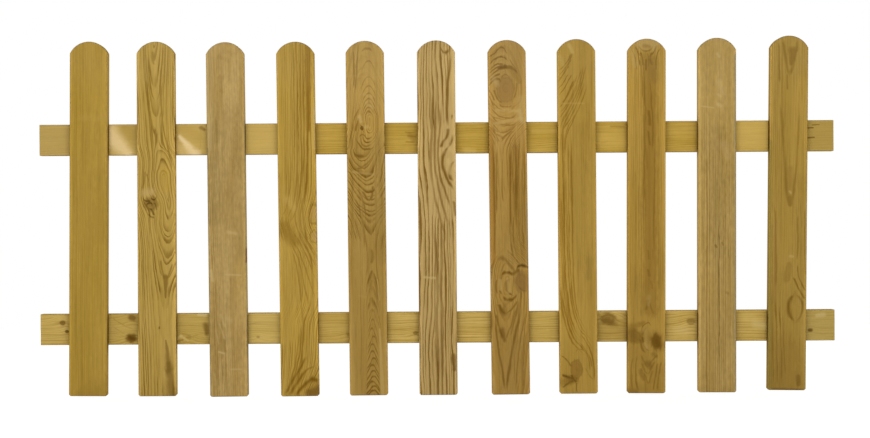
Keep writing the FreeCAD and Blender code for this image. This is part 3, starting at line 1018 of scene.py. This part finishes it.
# %% Seventh picket
dress_picket(
    7, ring_width=6.0, contrast=0.75, waver=2.0,
    heart=[(0, -12, 46, 1), (70, -12, 36, 1), (130, -12, 29, 1), (180, -11, 22, 1), (210, -10, 16, 1),
           (250, -6, 5, 1), (275, -4, 10, 1), (300, -8, 20, 1.2), (330, -10, 40, 2), (400, -10, 68, 3),
           (520, -12, 76, 3), (570, -14, 72, 2.2), (600, -12, 62, 1.4), (650, -9, 31, 1), (690, -6, 5, 1),
           (720, -8, 14, 1), (740, -9, 22, 1), (760, -10, 30, 1), (800, -10, 44, 1)],
    early=(170, 136, 70), late=(108, 74, 16), olive=(152, 116, 48),
    levels=((0, 0.95), (0.55, 0.96), (0.75, 1.05), (1, 1.05)),
    knot_colour=(136, 102, 52),
    knots=[
        dict(at=(-4, 687), size=(19, 27), core=0.8, rim=0.3),
        dict(at=(-3, 692), size=(7, 10), rim=0.12),
        dict(at=(-5, 686), size=(22, 32), rim=0.18),
        dict(at=(27, 255), size=(17, 24), reach=1.3, lift=8, core=0.9, rim=0.1),
    ],
    quiet=[((-20, 440), (-20, 330), (54, 54), 0.9, 0.5), ((-18, 560), (-18, 440), (26, 40), 0.6, 0.6),
           ((28, 280), (28, 250), (36, 36), 0.9, 0.4), ((-12, 130), (-12, -10), (70, 50), 0.85, 0.4),
           ((-4, 700), (-4, 676), (42, 42), 0.9, 0.3),
           ((0, 800), (0, 668), (110, 100), 0.6, 0.3)],
    glow=[((-10, 652), (0, 606), (90, 90), 0.1, 0.7), ((22, 790), (16, 735), (50, 50), -0.09, 0.8),
          ((6, 370), (10, 310), (70, 60), -0.08, 0.9), ((4, 110), (-4, 0), (60, 40), -0.09, 0.9)],
    strokes=[
        (3, 0.6, [(22, 706), (21, 686), (14, 666)], [(5, 758), (12, 746), (24, 732)],
         [(38, 590), (32, 520), (30, 440), (32, 350), (38, 310)],
         [(3, 420), (2, 360), (8, 316), (20, 296)], [(-12, 540), (-14, 480), (-12, 430)],
         [(36, 190), (22, 120), (15, 60), (10, 2)], [(38, 150), (29, 80), (25, 2)]),
        (3, 0.7, [(-40, 676), (-30, 656), (-16, 644), (0, 640), (16, 646)],
         [(-42, 656), (-28, 636), (-12, 626), (6, 624), (24, 634)],
         [(-20, 656), (-10, 650), (2, 649), (12, 655)],
         [(-42, 638), (-26, 618), (-10, 609), (8, 608), (28, 622)],
         [(-42, 622), (-26, 602), (-11, 592), (6, 598), (26, 612)], [(-42, 690), (-34, 676), (-28, 662)],
         [(-42, 676), (-36, 664), (-31, 650)],
         [(22, 612), (14, 560), (11, 500), (13, 430), (10, 370), (16, 318), (30, 296)],
         [(31, 600), (24, 540), (21, 450), (23, 360), (32, 304)]),
        (3, 0.9, [(-42, 731), (-31, 740), (-18, 746), (-6, 745)], [(-42, 724), (-28, 735), (-14, 741)],
         [(-42, 715), (-28, 727), (-18, 732)]),
        (4, 0.6, [(-14, 716), (-4, 722), (6, 714)], [(-36, 604), (-26, 584), (-17, 568)],
         [(-17, 568), (-4, 584), (12, 596)], [(14, 196), (3, 160), (-11, 124)],
         [(22, 215), (10, 170), (0, 130)]),
        (4, 0.7, [(-30, 690), (-26, 676), (-18, 662), (-6, 656)], [(-26, 560), (-27, 480), (-28, 400)],
         [(36, 610), (37, 520), (36, 420), (39, 340)], [(-14, 272), (-21, 258), (-22, 240), (-17, 224)],
         [(-29, 262), (-31, 245), (-28, 226)], [(-35, 175), (-28, 110), (-20, 60), (-13, 4)]),
        (4, 0.8, [(6, 560), (4, 500), (3, 430), (4, 370)]),
        (4, 0.9, [(-40, 709), (-26, 719), (-14, 724)],
         [(-42, 743), (-28, 756), (-15, 762), (-2, 758), (5, 748)],
         [(-42, 761), (-29, 769), (-19, 780), (-12, 784), (-2, 774), (5, 758)]),
        (5, 0.7, [(-11, 181), (4, 193), (19, 213)], [(-32, 185), (-24, 150), (-15, 124)],
         [(28, 205), (14, 150), (4, 100), (-4, 55), (-11, 4)]),
        (5, 0.8, [(-42, 696), (-32, 708), (-22, 712), (-12, 706)],
         [(-34, 590), (-33, 480), (-32, 380), (-34, 300)], [(16, 590), (18, 520), (17, 430), (19, 360)]),
        (6, 0.9, [(-21, 252), (-19, 267), (-13, 275), (-3, 276), (9, 271)],
         [(-1, 264), (-7, 250), (-7, 238), (0, 228), (13, 221)]),
        (7, 0.8, [(-26, 206), (-19, 191), (-11, 181)]),
        (7, 0.9, [(-18, 224), (-11, 216), (0, 214), (10, 219), (19, 227)]),
        (7, 1.0, [(-26, 730), (-12, 738), (0, 739), (12, 736), (27, 723)]),
        (9, 0.55, [(-30, 304), (-18, 308), (-4, 298), (6, 286), (16, 278)]),
    ],
    cracks=[
        (3, 0.35, [(18, 246), (28, 236), (40, 232)]),
        (3, 0.5, [(-20, 741), (-2, 743), (12, 737)]),
        (6, 0.85, [(14, 283), (26, 291), (46, 287)]),
    ],
    marks=[
        ((166, 140, 100), (0, 800), (0, 610), (110, 110), 0.1, 0.5),
        ((108, 78, 22), (-13, 738), (8, 738), (7, 6), 0.6, 0.8),
        ((140, 108, 50), (8, 734), (28, 706), (14, 10), 0.5, 0.7),
        ((190, 160, 96), (-26, 642), (22, 640), (6, 6), 0.55, 0.8),
        ((188, 158, 94), (-30, 612), (32, 622), (6, 9), 0.5, 0.8),
        ((138, 124, 90), (43, 430), (43, 292), (6, 6), 0.6, 0.6),
        ((150, 104, 40), (-38, 600), (-37, 300), (8, 10), 0.45, 0.7),
        ((178, 146, 84), (-40, 40), (-38, 10), (8, 8), 0.5, 0.7),
        ((182, 152, 90), (-22, 258), (-21, 238), (6, 6), 0.55, 0.8),
        ((178, 148, 86), (-4, 262), (-2, 232), (6, 8), 0.45, 0.8),
        ((182, 152, 94), (30, 668), (33, 636), (14, 10), 0.45, 0.9),
        ((106, 76, 20), (10, 273), (18, 280), (8, 8), 0.7, 0.8),
        ((106, 76, 20), (-16, 190), (-12, 182), (18, 10), 0.5, 0.8),
        ((102, 70, 20), (-19, 144), (-13, 122), (13, 7), 0.6, 0.8),
        ((186, 158, 102), (-34, 718), (-22, 700), (10, 10), 0.35, 0.9),
        ((192, 164, 104), (26, 640), (34, 616), (10, 10), 0.5, 0.9),
    ],
)

# %% [markdown]
# The eighth picket is plain on the right, with a fan of fine lines slanting across its upper left and a
# sweep of lines that swing out over a split knot near the foot. The fan and the sweep are drawn as
# strokes, and the rings are left to the left edge only.

# %% Eighth picket
dress_picket(
    8, heart=STRAIGHT, ring_width=5.4, contrast=0.5, waver=2.0,
    early=(168, 136, 63), late=(122, 87, 21), olive=(154, 122, 48),
    knot_colour=(138, 103, 44),
    knots=[dict(at=(-5, 56), size=(13, 20), reach=2.2, swell=0.5, core=0.85, rim=0.25)],
    quiet=[((20, -10), (20, 810), (70, 70), 0.8, 0.4), ((0, 800), (-20, 640), (90, 90), 0.9, 0.3),
           ((-10, 130), (-10, 0), (80, 80), 0.9, 0.3)],
    glow=[((4, 600), (4, 300), (34, 34), -0.06, 0.9), ((-30, 590), (-24, 150), (28, 40), 0.09, 0.9),
          ((0, 190), (4, 120), (36, 36), 0.08, 0.9)],
    strokes=[
        (2, 0.5, [(-12, 580), (-15, 500), (-15, 420)]),
        (2, 0.6, [(27, 705), (13, 662), (-6, 625), (-24, 588), (-31, 540), (-32, 480)],
         [(-24, 580), (-28, 500), (-28, 420)]),
        (2, 0.7, [(-8, 774), (-14, 755), (-26, 734), (-42, 716)], [(-11, 757), (-22, 736), (-42, 700)],
         [(-16, 742), (-28, 722), (-42, 708)], [(24, 688), (8, 650), (-10, 612), (-26, 570), (-30, 520)],
         [(14, 712), (0, 676), (-18, 638), (-38, 602)]),
        (2, 0.8, [(-10, 722), (-28, 688), (-42, 672)], [(-18, 722), (-32, 698), (-42, 688)]),
        (3, 0.5, [(14, 60), (24, 40), (36, 30)]),
        (3, 0.6, [(-8, 96), (4, 100), (16, 92), (22, 78)], [(16, 96), (26, 78), (30, 58)]),
        (3, 0.65, [(12, 737), (-4, 688), (-22, 652), (-42, 630)],
         [(18, 744), (2, 685), (-16, 645), (-34, 612), (-40, 590)],
         [(24, 749), (9, 690), (-9, 645), (-28, 606), (-36, 560)],
         [(20, 708), (4, 662), (-14, 622), (-34, 584), (-38, 540)]),
        (3, 0.7, [(3, 722), (-12, 688), (-28, 662), (-42, 650)],
         [(-12, 768), (-20, 750), (-34, 734), (-42, 728)], [(4, 700), (-12, 664), (-30, 634), (-42, 618)],
         [(-40, 560), (-39, 420), (-36, 300), (-30, 210), (-20, 150), (-4, 118), (16, 96)],
         [(-37, 480), (-35, 390), (-32, 300), (-26, 210), (-15, 150), (2, 120), (22, 96)],
         [(0, 142), (16, 118), (28, 92), (34, 60), (36, 26)], [(-6, 122), (10, 106), (21, 82), (25, 50)]),
        (3, 0.8, [(-4, 712), (-18, 680), (-32, 654), (-42, 642)],
         [(-25, 520), (-24, 400), (-22, 300), (-15, 210), (0, 152), (18, 126), (38, 84)],
         [(-13, 600), (-12, 420), (-11, 300), (-6, 210), (10, 156), (30, 122)],
         [(-20, 590), (-20, 430), (-18, 300), (-11, 210), (5, 154), (24, 126), (40, 100)]),
        (3, 0.9, [(-33, 640), (-31, 440), (-29, 300), (-23, 210), (-10, 150), (8, 122), (28, 96)]),
        (4, 0.8, [(-42, 250), (-32, 170), (-17, 122), (-2, 102), (16, 84)],
         [(-42, 88), (-28, 78), (-15, 60)]),
        (4, 0.9, [(-38, 230), (-26, 168), (-10, 124), (6, 106), (22, 84)]),
    ],
    cracks=[
        (2, 0.6, [(-4, 26), (-5, 14), (-3, 2)]),
        (4, 0.7, [(-10, 30), (-22, 25), (-38, 14)]),
        (5, 0.8, [(-6, 30), (-14, 34), (-26, 38), (-40, 44)], [(-18, 44), (-13, 34), (-6, 26)]),
    ],
    marks=[
        ((190, 160, 92), (-16, 786), (-9, 770), (9, 7), 0.65, 0.7),
        ((184, 154, 86), (-38, 762), (-30, 742), (8, 8), 0.4, 0.8),
        ((186, 155, 82), (-34, 655), (16, 655), (4, 4), 0.35, 0.9),
        ((138, 113, 54), (27, 302), (23, 262), (14, 12), 0.45, 0.8),
        ((104, 74, 16), (-16, 32), (-10, 30), (18, 14), 0.6, 0.7),
        ((130, 98, 36), (-40, 26), (-22, 28), (20, 16), 0.5, 0.8),
    ],
)

# %% [markdown]
# The ninth picket carries a darker stripe down its middle, flecked with short brown dashes, half a loop
# at its head and a pair of dark knots just above the foot, with the grain squeezed between them. The
# stripe and the dashes are bands and strokes over an almost straight grain.

# %% Ninth picket
dress_picket(
    9, heart=STRAIGHT, ring_width=4.6, contrast=0.45, waver=2.5,
    early=(172, 138, 64), late=(104, 73, 16), olive=(156, 123, 50),
    levels=((0, 0.95), (0.2, 0.95), (0.5, 0.98), (1, 1.02)),
    knot_colour=(104, 74, 20),
    knots=[
        dict(at=(-29, 129), size=(23, 16), reach=1.6, swell=0.5, core=0.62, rim=0.08),
        dict(at=(22, 117), size=(13, 18), reach=1.6, swell=0.5, core=0.75),
    ],
    quiet=[((0, 190), (0, -10), (90, 90), 0.9, 0.3)],
    glow=[((-26, 800), (-28, 600), (40, 30), 0.07, 0.9), ((-20, 200), (-16, 0), (60, 60), -0.06, 0.9),
          ((24, 690), (26, 430), (34, 34), 0.07, 0.9)],
    strokes=[
        (2, 0.6, [(-4, 730), (-3, 650), (0, 560)]),
        (2, 0.9, [(-7, 750), (-6, 700), (-5, 640)], [(-36, 778), (-27, 758), (-23, 728)],
         [(-27, 786), (-20, 766), (-15, 736)], [(30, 780), (22, 756), (20, 726)]),
        (3, 0.5, [(-16, 760), (-11, 720), (-9, 660)], [(-30, 84), (-35, 45), (-30, 4)]),
        (3, 0.6, [(-12, 794), (-2, 784), (9, 792)], [(-26, 782), (-18, 766), (-10, 758)],
         [(-10, 132), (-3, 146), (4, 150)], [(26, 72), (20, 36), (15, 4)], [(34, 76), (28, 40), (24, 4)],
         [(-20, 90), (-25, 45), (-18, 4)]),
        (3, 0.7, [(-6, 650), (-4, 580), (-6, 500), (-3, 420)],
         [(16, 560), (18, 480), (16, 400), (18, 300)], [(-14, 138), (-6, 154), (3, 160), (11, 150)]),
        (3, 0.8, [(1, 770), (4, 752), (3, 734)], [(13, 772), (9, 756), (12, 738)],
         [(6, 720), (10, 660), (14, 600), (12, 540)]),
        (3, 0.9, [(22, 786), (14, 768), (5, 758)]),
        (4, 0.5, [(14, 600), (17, 560)], [(-2, 560), (2, 500)], [(10, 256), (13, 234)],
         [(-13, 88), (-5, 70), (2, 58)], [(2, 58), (11, 72), (24, 88)], [(-11, 70), (-4, 52), (3, 42)],
         [(3, 42), (10, 56), (20, 74)], [(-7, 48), (0, 32), (4, 20)], [(4, 20), (9, 38), (14, 54)]),
        (4, 0.6, [(13, 328), (15, 300)], [(7, 206), (15, 178)]),
        (4, 0.7, [(4, 214), (-1, 186)], [(-14, 124), (-11, 104), (-2, 90)]),
        (4, 0.8, [(-22, 792), (-14, 778), (-3, 772), (8, 776), (18, 788)], [(3, 596), (8, 556)],
         [(-10, 130), (-7, 112), (2, 99), (10, 94)]),
        (4, 0.9, [(-14, 772), (-9, 754), (-5, 736)]),
        (4, 1.0, [(-10, 762), (-8, 738)], [(-2, 756), (-1, 726)]),
        (5, 0.6, [(3, 326), (6, 300)]),
        (5, 0.9, [(4, 642), (7, 600)]),
        (6, 0.7, [(3, 282), (7, 262)]),
    ],
    marks=[
        ((134, 101, 40), (7, 752), (8, 190), (30, 36), 0.55, 0.6),
        ((126, 94, 34), (-40, 146), (-6, 160), (20, 8), 0.5, 0.8),
        ((134, 102, 42), (-20, 90), (24, 40), (60, 40), 0.35, 0.9),
        ((128, 96, 36), (-24, 14), (24, 10), (30, 30), 0.3, 0.9),
        ((160, 130, 68), (-2, 142), (3, 104), (12, 10), 0.55, 0.6),
        ((184, 156, 98), (-14, 790), (14, 790), (26, 26), 0.55, 0.7),
        ((186, 156, 90), (-34, 770), (-26, 740), (14, 12), 0.4, 0.9),
        ((132, 102, 46), (-6, 784), (6, 782), (8, 7), 0.5, 0.8),
        ((122, 92, 38), (8, 752), (12, 744), (9, 7), 0.5, 0.8),
        ((128, 98, 44), (14, 728), (16, 706), (14, 10), 0.4, 0.9),
        ((162, 134, 74), (5, 218), (3, 200), (9, 7), 0.5, 0.8),
        ((168, 134, 62), (34, 76), (38, 70), (10, 8), 0.4, 0.8),
        ((108, 76, 22), (19, 125), (26, 109), (28, 26), 0.6, 0.8),
        ((92, 62, 12), (22, 120), (26, 110), (14, 14), 0.35, 0.9),
        ((112, 82, 28), (3, 68), (9, 60), (13, 11), 0.55, 0.8),
        ((116, 86, 32), (-13, 52), (-7, 32), (9, 7), 0.5, 0.8),
        ((112, 82, 30), (-36, 6), (-24, 2), (16, 14), 0.55, 0.8),
        ((118, 88, 34), (14, 90), (22, 84), (9, 7), 0.5, 0.8),
        ((176, 146, 80), (-4, 112), (0, 104), (7, 6), 0.5, 0.8),
        ((170, 138, 70), (32, 40), (35, 12), (8, 8), 0.4, 0.9),
    ],
)

# %% [markdown]
# The tenth picket is the other beige board: fine, straight lines from end to end, a hair crack down its
# lower half and a few pale specks where the saw tore the surface.

# %% Tenth picket
dress_picket(
    10, heart=STRAIGHT, ring_width=4.4, contrast=0.7, waver=2.0, relief=0.4, patchiness=0.5, flecks=0.26,
    early=(177, 148, 87), late=(120, 90, 32), olive=(158, 129, 64),
    levels=((0, 0.97), (0.5, 0.97), (0.75, 1.04), (1, 1.05)),
    quiet=[((0, 800), (0, 640), (100, 100), 0.6, 0.4)],
    glow=[((0, 590), (0, 320), (30, 30), -0.1, 0.9), ((-28, 480), (-28, 60), (30, 30), 0.08, 0.9)],
    cracks=[(2, 0.6, [(4, 400), (3, 250), (4, 120), (2, 50)]), (2, 0.4, [(24, 380), (24, 300)])],
    marks=[
        ((192, 165, 108), (2, 672), (8, 668), (6, 6), 0.5, 0.8),
        ((196, 170, 112), (2, 650), (8, 646), (8, 8), 0.5, 0.8),
        ((194, 168, 110), (-36, 646), (-8, 642), (3, 3), 0.5, 0.8),
        ((196, 170, 114), (0, 764), (4, 758), (5, 6), 0.5, 0.8),
        ((190, 163, 106), (4, 700), (14, 676), (14, 10), 0.35, 0.9),
        ((190, 163, 106), (14, 560), (24, 530), (16, 12), 0.3, 0.9),
        ((116, 88, 40), (-4, 332), (-2, 328), (5, 5), 0.6, 0.6),
        ((122, 94, 44), (11, 338), (13, 333), (4, 4), 0.5, 0.6),
        ((132, 104, 52), (20, 226), (24, 224), (6, 6), 0.45, 0.7),
        ((142, 128, 94), (42, 0), (42, 760), (10, 8), 0.6, 0.5),
    ],
)

# %% [markdown]
# The eleventh picket has two long arrowheads that point down, one at its head and one at half height, and
# the ring of a branch that fell out of the pattern near its foot. The ring is a knot with a rim and no
# core.

# %% Eleventh picket
dress_picket(
    11, heart=STRAIGHT, ring_width=5.5, contrast=0.5, waver=2.0,
    early=(167, 136, 66), late=(108, 78, 16), olive=(152, 122, 48),
    levels=((0, 0.93), (0.3, 0.96), (0.6, 1.0), (1, 1.03)),
    knots=[dict(at=(18, 186), size=(16, 31), reach=1.4, swell=0.4, rim=0.1)],
    quiet=[((16, -10), (16, 420), (60, 60), 0.85, 0.4), ((4, 420), (4, 800), (26, 26), 0.8, 0.5)],
    glow=[((28, 690), (26, 500), (28, 28), 0.1, 0.9)],
    strokes=[
        (3, 0.5, [(-12, 180), (-7, 90), (-4, 30)], [(22, 400), (22, 340), (20, 290)]),
        (3, 0.6, [(-36, 230), (-33, 120), (-30, 3)], [(-20, 200), (-14, 100), (-12, 6)],
         [(38, 420), (38, 320), (40, 250)]),
        (3, 0.7, [(22, 285), (24, 262), (32, 238), (41, 222)], [(-28, 220), (-24, 120), (-22, 3)]),
        (4, 0.6, [(-5, 716), (-4, 676)], [(-26, 790), (-23, 740), (-22, 690)],
         [(-31, 430), (-28, 330), (-26, 220)]),
        (4, 0.7, [(11, 258), (24, 232), (40, 203)]),
        (5, 0.5, [(24, 640), (20, 540), (15, 480), (9, 415)]),
        (5, 0.6, [(18, 218), (28, 209), (34, 190), (30, 168), (19, 155)]),
        (6, 0.6, [(-16, 794), (-11, 768), (-6, 736), (0, 706)],
         [(18, 794), (15, 765), (10, 740), (3, 708)],
         [(-20, 660), (-14, 580), (-9, 520), (-5, 460), (-1, 415)]),
        (7, 0.8, [(18, 218), (7, 208), (3, 188), (6, 168), (18, 155)]),
    ],
    cracks=[(4, 0.5, [(-40, 3), (-10, 4), (20, 3), (40, 4)])],
    marks=[
        ((126, 94, 34), (7, 766), (4, 738), (18, 9), 0.7, 0.6),
        ((122, 92, 32), (4, 434), (4, 420), (13, 10), 0.6, 0.5),
        ((144, 112, 50), (4, 500), (4, 440), (14, 16), 0.45, 0.7),
        ((186, 158, 96), (3, 449), (5, 446), (5, 5), 0.6, 0.7),
        ((186, 158, 96), (5, 303), (11, 302), (6, 6), 0.5, 0.7),
        ((132, 102, 42), (3, 285), (-2, 252), (10, 16), 0.45, 0.6),
        ((112, 84, 28), (25, 32), (26, 14), (9, 9), 0.7, 0.6),
        ((124, 112, 54), (-42, 0), (-42, 560), (16, 10), 0.5, 0.6),
        ((156, 118, 62), (-28, 380), (-30, 200), (8, 8), 0.3, 0.7),
        ((178, 152, 96), (42, 420), (42, 280), (5, 5), 0.5, 0.6),
        ((130, 100, 44), (-8, 90), (0, -10), (70, 90), 0.4, 0.8),
    ],
)

# %% [markdown]
# The two rails run behind the pickets, so their boards are measured from the left end, with across
# pointing down. They are the same timber, a little fresher and brighter where they lie between the
# pickets. Light catches the top rail on the left, and two bright diagonal patches there are a painted
# highlight; the bottom rail is knottier, with one large brown knot towards the right.

# %% The rails
RAIL_TURN = math.radians(90)
# corner_shade sets how strong the painted shade is in the rails' corners beside the pickets.
RAIL_GRAIN = dict(heart=[(0, -90, 20, 1), (1800, -110, 20, 1)], ring_width=5.0, patchiness=0.6, corner_shade=0.5)


def dress_rail(node_name, **grain):
    low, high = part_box(node_name)
    length = (high.x - low.x) / MILLIMETRE
    end = (low.x, low.y, (low.z + high.z) / 2)
    cover_node(node_name, timber(f"{node_name}_timber", end, RAIL_TURN, length, **RAIL_GRAIN, **grain))
    print(node_name, "is", round(length), "mm long")


dress_rail(
    "top_rail", contrast=0.55, waver=8.0, seed=91.0,
    early=(190, 157, 74), late=(142, 107, 34), olive=(174, 142, 56),
    strokes=[
        (2, 0.7, [(-34, 366), (-24, 374), (-14, 376)]),
        (2, 0.8, [(-30, 358), (-10, 366), (30, 362)]),
        (3, 0.6, [(-24, 1290), (-23, 1330)], [(14, 1270), (10, 1290)], [(-22, 960), (-20, 1010)]),
        (3, 0.7, [(-14, 826), (-12, 852)], [(8, 828), (9, 850)]),
        (3, 0.8, [(-4, 832), (-2, 856)]),
    ],
    marks=[
        ((190, 164, 104), (0, 0), (0, 60), (90, 90), 0.5, 0.3),
        ((204, 175, 104), (0, 170), (0, 540), (100, 90), 0.55, 0.4),
        # Painted highlight: a bright diagonal patch of light on the rail.
        ((240, 214, 160), (-14, 156), (30, 198), (44, 22), 0.6, 0.8),
        ((166, 136, 62), (-24, 196), (-10, 216), (30, 34), 0.6, 0.8),
        # Painted highlight: another bright diagonal patch of light on the rail.
        ((236, 210, 156), (-6, 318), (34, 352), (8, 22), 0.8, 0.8),
        ((216, 186, 118), (20, 312), (30, 330), (26, 26), 0.5, 0.8),
        ((182, 151, 76), (-26, 330), (-4, 362), (30, 26), 0.6, 0.8),
        ((118, 86, 36), (-26, 366), (-22, 374), (8, 6), 0.6, 0.7),
        ((208, 176, 98), (0, 1590), (0, 1650), (80, 80), 0.55, 0.5),
        ((204, 172, 90), (-14, 1120), (-14, 1170), (10, 10), 0.4, 0.8),
        ((206, 172, 88), (10, 1280), (14, 1320), (30, 30), 0.4, 0.8),
        ((204, 174, 92), (28, 966), (30, 984), (12, 12), 0.5, 0.8),
        ((172, 146, 80), (0, 1745), (0, 1800), (90, 90), 0.6, 0.3),
        ((134, 102, 38), (-6, 840), (4, 848), (12, 10), 0.4, 0.8),
        ((104, 76, 24), (-17, 1740), (-18, 1754), (4, 3), 0.8, 0.6),
        ((104, 76, 24), (5, 1740), (4, 1756), (4, 3), 0.8, 0.6),
        ((104, 76, 24), (-24, 1752), (-25, 1768), (3, 2), 0.6, 0.6),
    ],
)
dress_rail(
    "bottom_rail", contrast=0.7, waver=9.0, seed=97.0,
    early=(203, 173, 97), late=(144, 110, 40), olive=(186, 156, 76),
    knot_colour=(102, 71, 18),
    knots=[
        dict(at=(-16, 50), size=(6, 7), reach=3.0, swell=0.5, lift=7, core=0.8),
        dict(at=(4, 60), size=(4, 5), reach=3.0, swell=0.5, lift=5, core=0.9),
        dict(at=(-26, 208), size=(8, 8), reach=2.6, lift=7, core=0.7),
        dict(at=(20, 206), size=(10, 11), reach=2.4, lift=9, core=0.95),
        dict(at=(20, 335), size=(6, 7), reach=3.0, lift=7, core=0.4),
        dict(at=(19, 493), size=(3, 4), reach=3.0, core=0.7, lift=4),
        dict(at=(14, 698), size=(4, 5), reach=3.0, core=0.6, lift=4),
        dict(at=(12, 850), size=(4, 6), reach=3.0, core=0.6, lift=4),
        dict(at=(-18, 1286), size=(15, 19), reach=2.0, swell=0.5, lift=12, core=0.75),
        dict(at=(-10, 1474), size=(8, 10), reach=2.6, core=0.5, lift=9),
        dict(at=(11, 1744), size=(4, 5), reach=3.0, lift=6, core=0.9),
    ],
    strokes=[
        (3, 0.6, [(-10, 160), (4, 180), (10, 192)], [(10, 316), (14, 336), (24, 350)],
         [(24, 322), (18, 340), (12, 360)]),
        (3, 0.7, [(-28, 160), (-12, 185), (2, 215)]),
    ],
    cracks=[(2, 0.5, [(-12, 472), (-13, 510), (-12, 545)])],
    marks=[
        ((144, 112, 44), (8, 1270), (8, 1320), (60, 60), 0.45, 0.7),
        ((90, 60, 12), (-12, 1278), (-6, 1300), (14, 16), 0.35, 0.9),
        ((206, 180, 104), (0, 480), (0, 530), (80, 80), 0.35, 0.5),
        ((172, 144, 70), (0, 160), (0, 380), (90, 90), 0.4, 0.5),
        ((208, 184, 120), (-33, 358), (-32, 374), (7, 9), 0.75, 0.8),
        ((172, 140, 60), (0, 630), (0, 690), (90, 90), 0.35, 0.5),
        ((204, 178, 112), (8, 1440), (10, 1460), (12, 16), 0.4, 0.9),
        ((206, 184, 120), (-4, 1620), (0, 1640), (16, 16), 0.45, 0.9),
        ((170, 146, 82), (0, 1750), (0, 1800), (90, 90), 0.6, 0.3),
        ((204, 180, 120), (-22, 1760), (-24, 1775), (8, 10), 0.5, 0.8),
        ((96, 66, 18), (11, 1742), (11, 1747), (7, 7), 0.75, 0.7),
        ((108, 76, 22), (20, 203), (20, 209), (20, 20), 0.75, 0.5),
        ((84, 56, 10), (19, 204), (21, 208), (9, 9), 0.6, 0.7),
        ((206, 180, 112), (26, 302), (16, 318), (5, 6), 0.65, 0.8),
        ((206, 180, 112), (16, 318), (26, 334), (5, 4), 0.55, 0.8),
        ((118, 86, 30), (29, 308), (25, 322), (5, 4), 0.5, 0.8),
        # Painted shade on the rail beside the left edge of the third picket.
        ((104, 72, 20), (-8, 374), (10, 376), (12, 9), 0.65, 0.8),
        ((112, 80, 26), (-27, 205), (-25, 211), (13, 13), 0.6, 0.7),
    ],
)

# %% [markdown]
# The pickets are nailed on from behind, two nails to a crossing, set on a slant so that the board can't
# turn. A nail head is a short cone-shaped disc: create_cone makes it, and a bevel rounds its rim. The
# heads of a rail are one mesh, sunk into the wood so that they stand proud by half a millimetre, and
# zinc-coated.

# %% Nail heads on the back
PICKET_COUNT = 11
HEAD_RADIUS = 3.2 * MILLIMETRE
HEAD_TAPER = 0.7
HEAD_PROUD = 0.5 * MILLIMETRE
HEAD_SUNK = 2.0 * MILLIMETRE
HEAD_SIDES = 20
RIM_ROUND = 0.7 * HEAD_PROUD
SAME_PLACE = 0.001 * MILLIMETRE
NAIL_ASIDE = 20 * MILLIMETRE
NAIL_ABOVE = 15 * MILLIMETRE
DULL_ZINC = (118, 120, 120)
BRIGHT_ZINC = (168, 170, 170)
ZINC_ROUGHNESS = 0.45
SPANGLE_SCALE = 900.0


def zinc():
    material, tree = new_material("nail_zinc")
    place = put(tree, "ShaderNodeTexCoord", {})["Object"]
    spangle = put(tree, "ShaderNodeTexNoise", {"Vector": place, "Scale": SPANGLE_SCALE})["Fac"]
    shader = tree.nodes["Principled BSDF"]
    feed(shader.inputs["Base Color"], blend_colours(spangle, srgb(*DULL_ZINC), srgb(*BRIGHT_ZINC)))
    shader.inputs["Metallic"].default_value = 1.0
    shader.inputs["Roughness"].default_value = ZINC_ROUGHNESS
    return material


def add_head(mesh, place):
    turn = Matrix.Rotation(math.radians(-90), 4, "X")
    made = bmesh.ops.create_cone(
        mesh, cap_ends=True, segments=HEAD_SIDES, radius1=HEAD_RADIUS * HEAD_TAPER, radius2=HEAD_RADIUS,
        depth=HEAD_PROUD + HEAD_SUNK, matrix=Matrix.Translation(place) @ turn,
    )
    front = max(vertex.co.y for vertex in made["verts"])
    edges = dict.fromkeys(edge for vertex in made["verts"] for edge in vertex.link_edges)
    rim = [edge for edge in edges if all(front - vertex.co.y < SAME_PLACE for vertex in edge.verts)]
    bmesh.ops.bevel(mesh, geom=rim, offset=RIM_ROUND, affect="EDGES", segments=2, profile=0.5, material=-1)


def add_nails(rail_name, material):
    low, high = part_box(rail_name)
    heads = bmesh.new()
    for number in range(1, PICKET_COUNT + 1):
        left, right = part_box(f"picket_{number:02d}")
        for side in (-1, 1):
            across = (left.x + right.x) / 2 + side * NAIL_ASIDE
            height = (low.z + high.z) / 2 - side * NAIL_ABOVE
            add_head(heads, (across, high.y + (HEAD_PROUD - HEAD_SUNK) / 2, height))
    mesh = bpy.data.meshes.new(f"{rail_name}_nails")
    heads.to_mesh(mesh)
    heads.free()
    mesh.materials.append(material)
    nails = bpy.data.objects.new(mesh.name, mesh)
    bpy.context.scene.collection.objects.link(nails)
    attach(nails, "root")
    print(nails.name, "has", len(mesh.polygons), "faces")


NAIL_ZINC = zinc()
for rail_name in ("top_rail", "bottom_rail"):
    add_nails(rail_name, NAIL_ZINC)
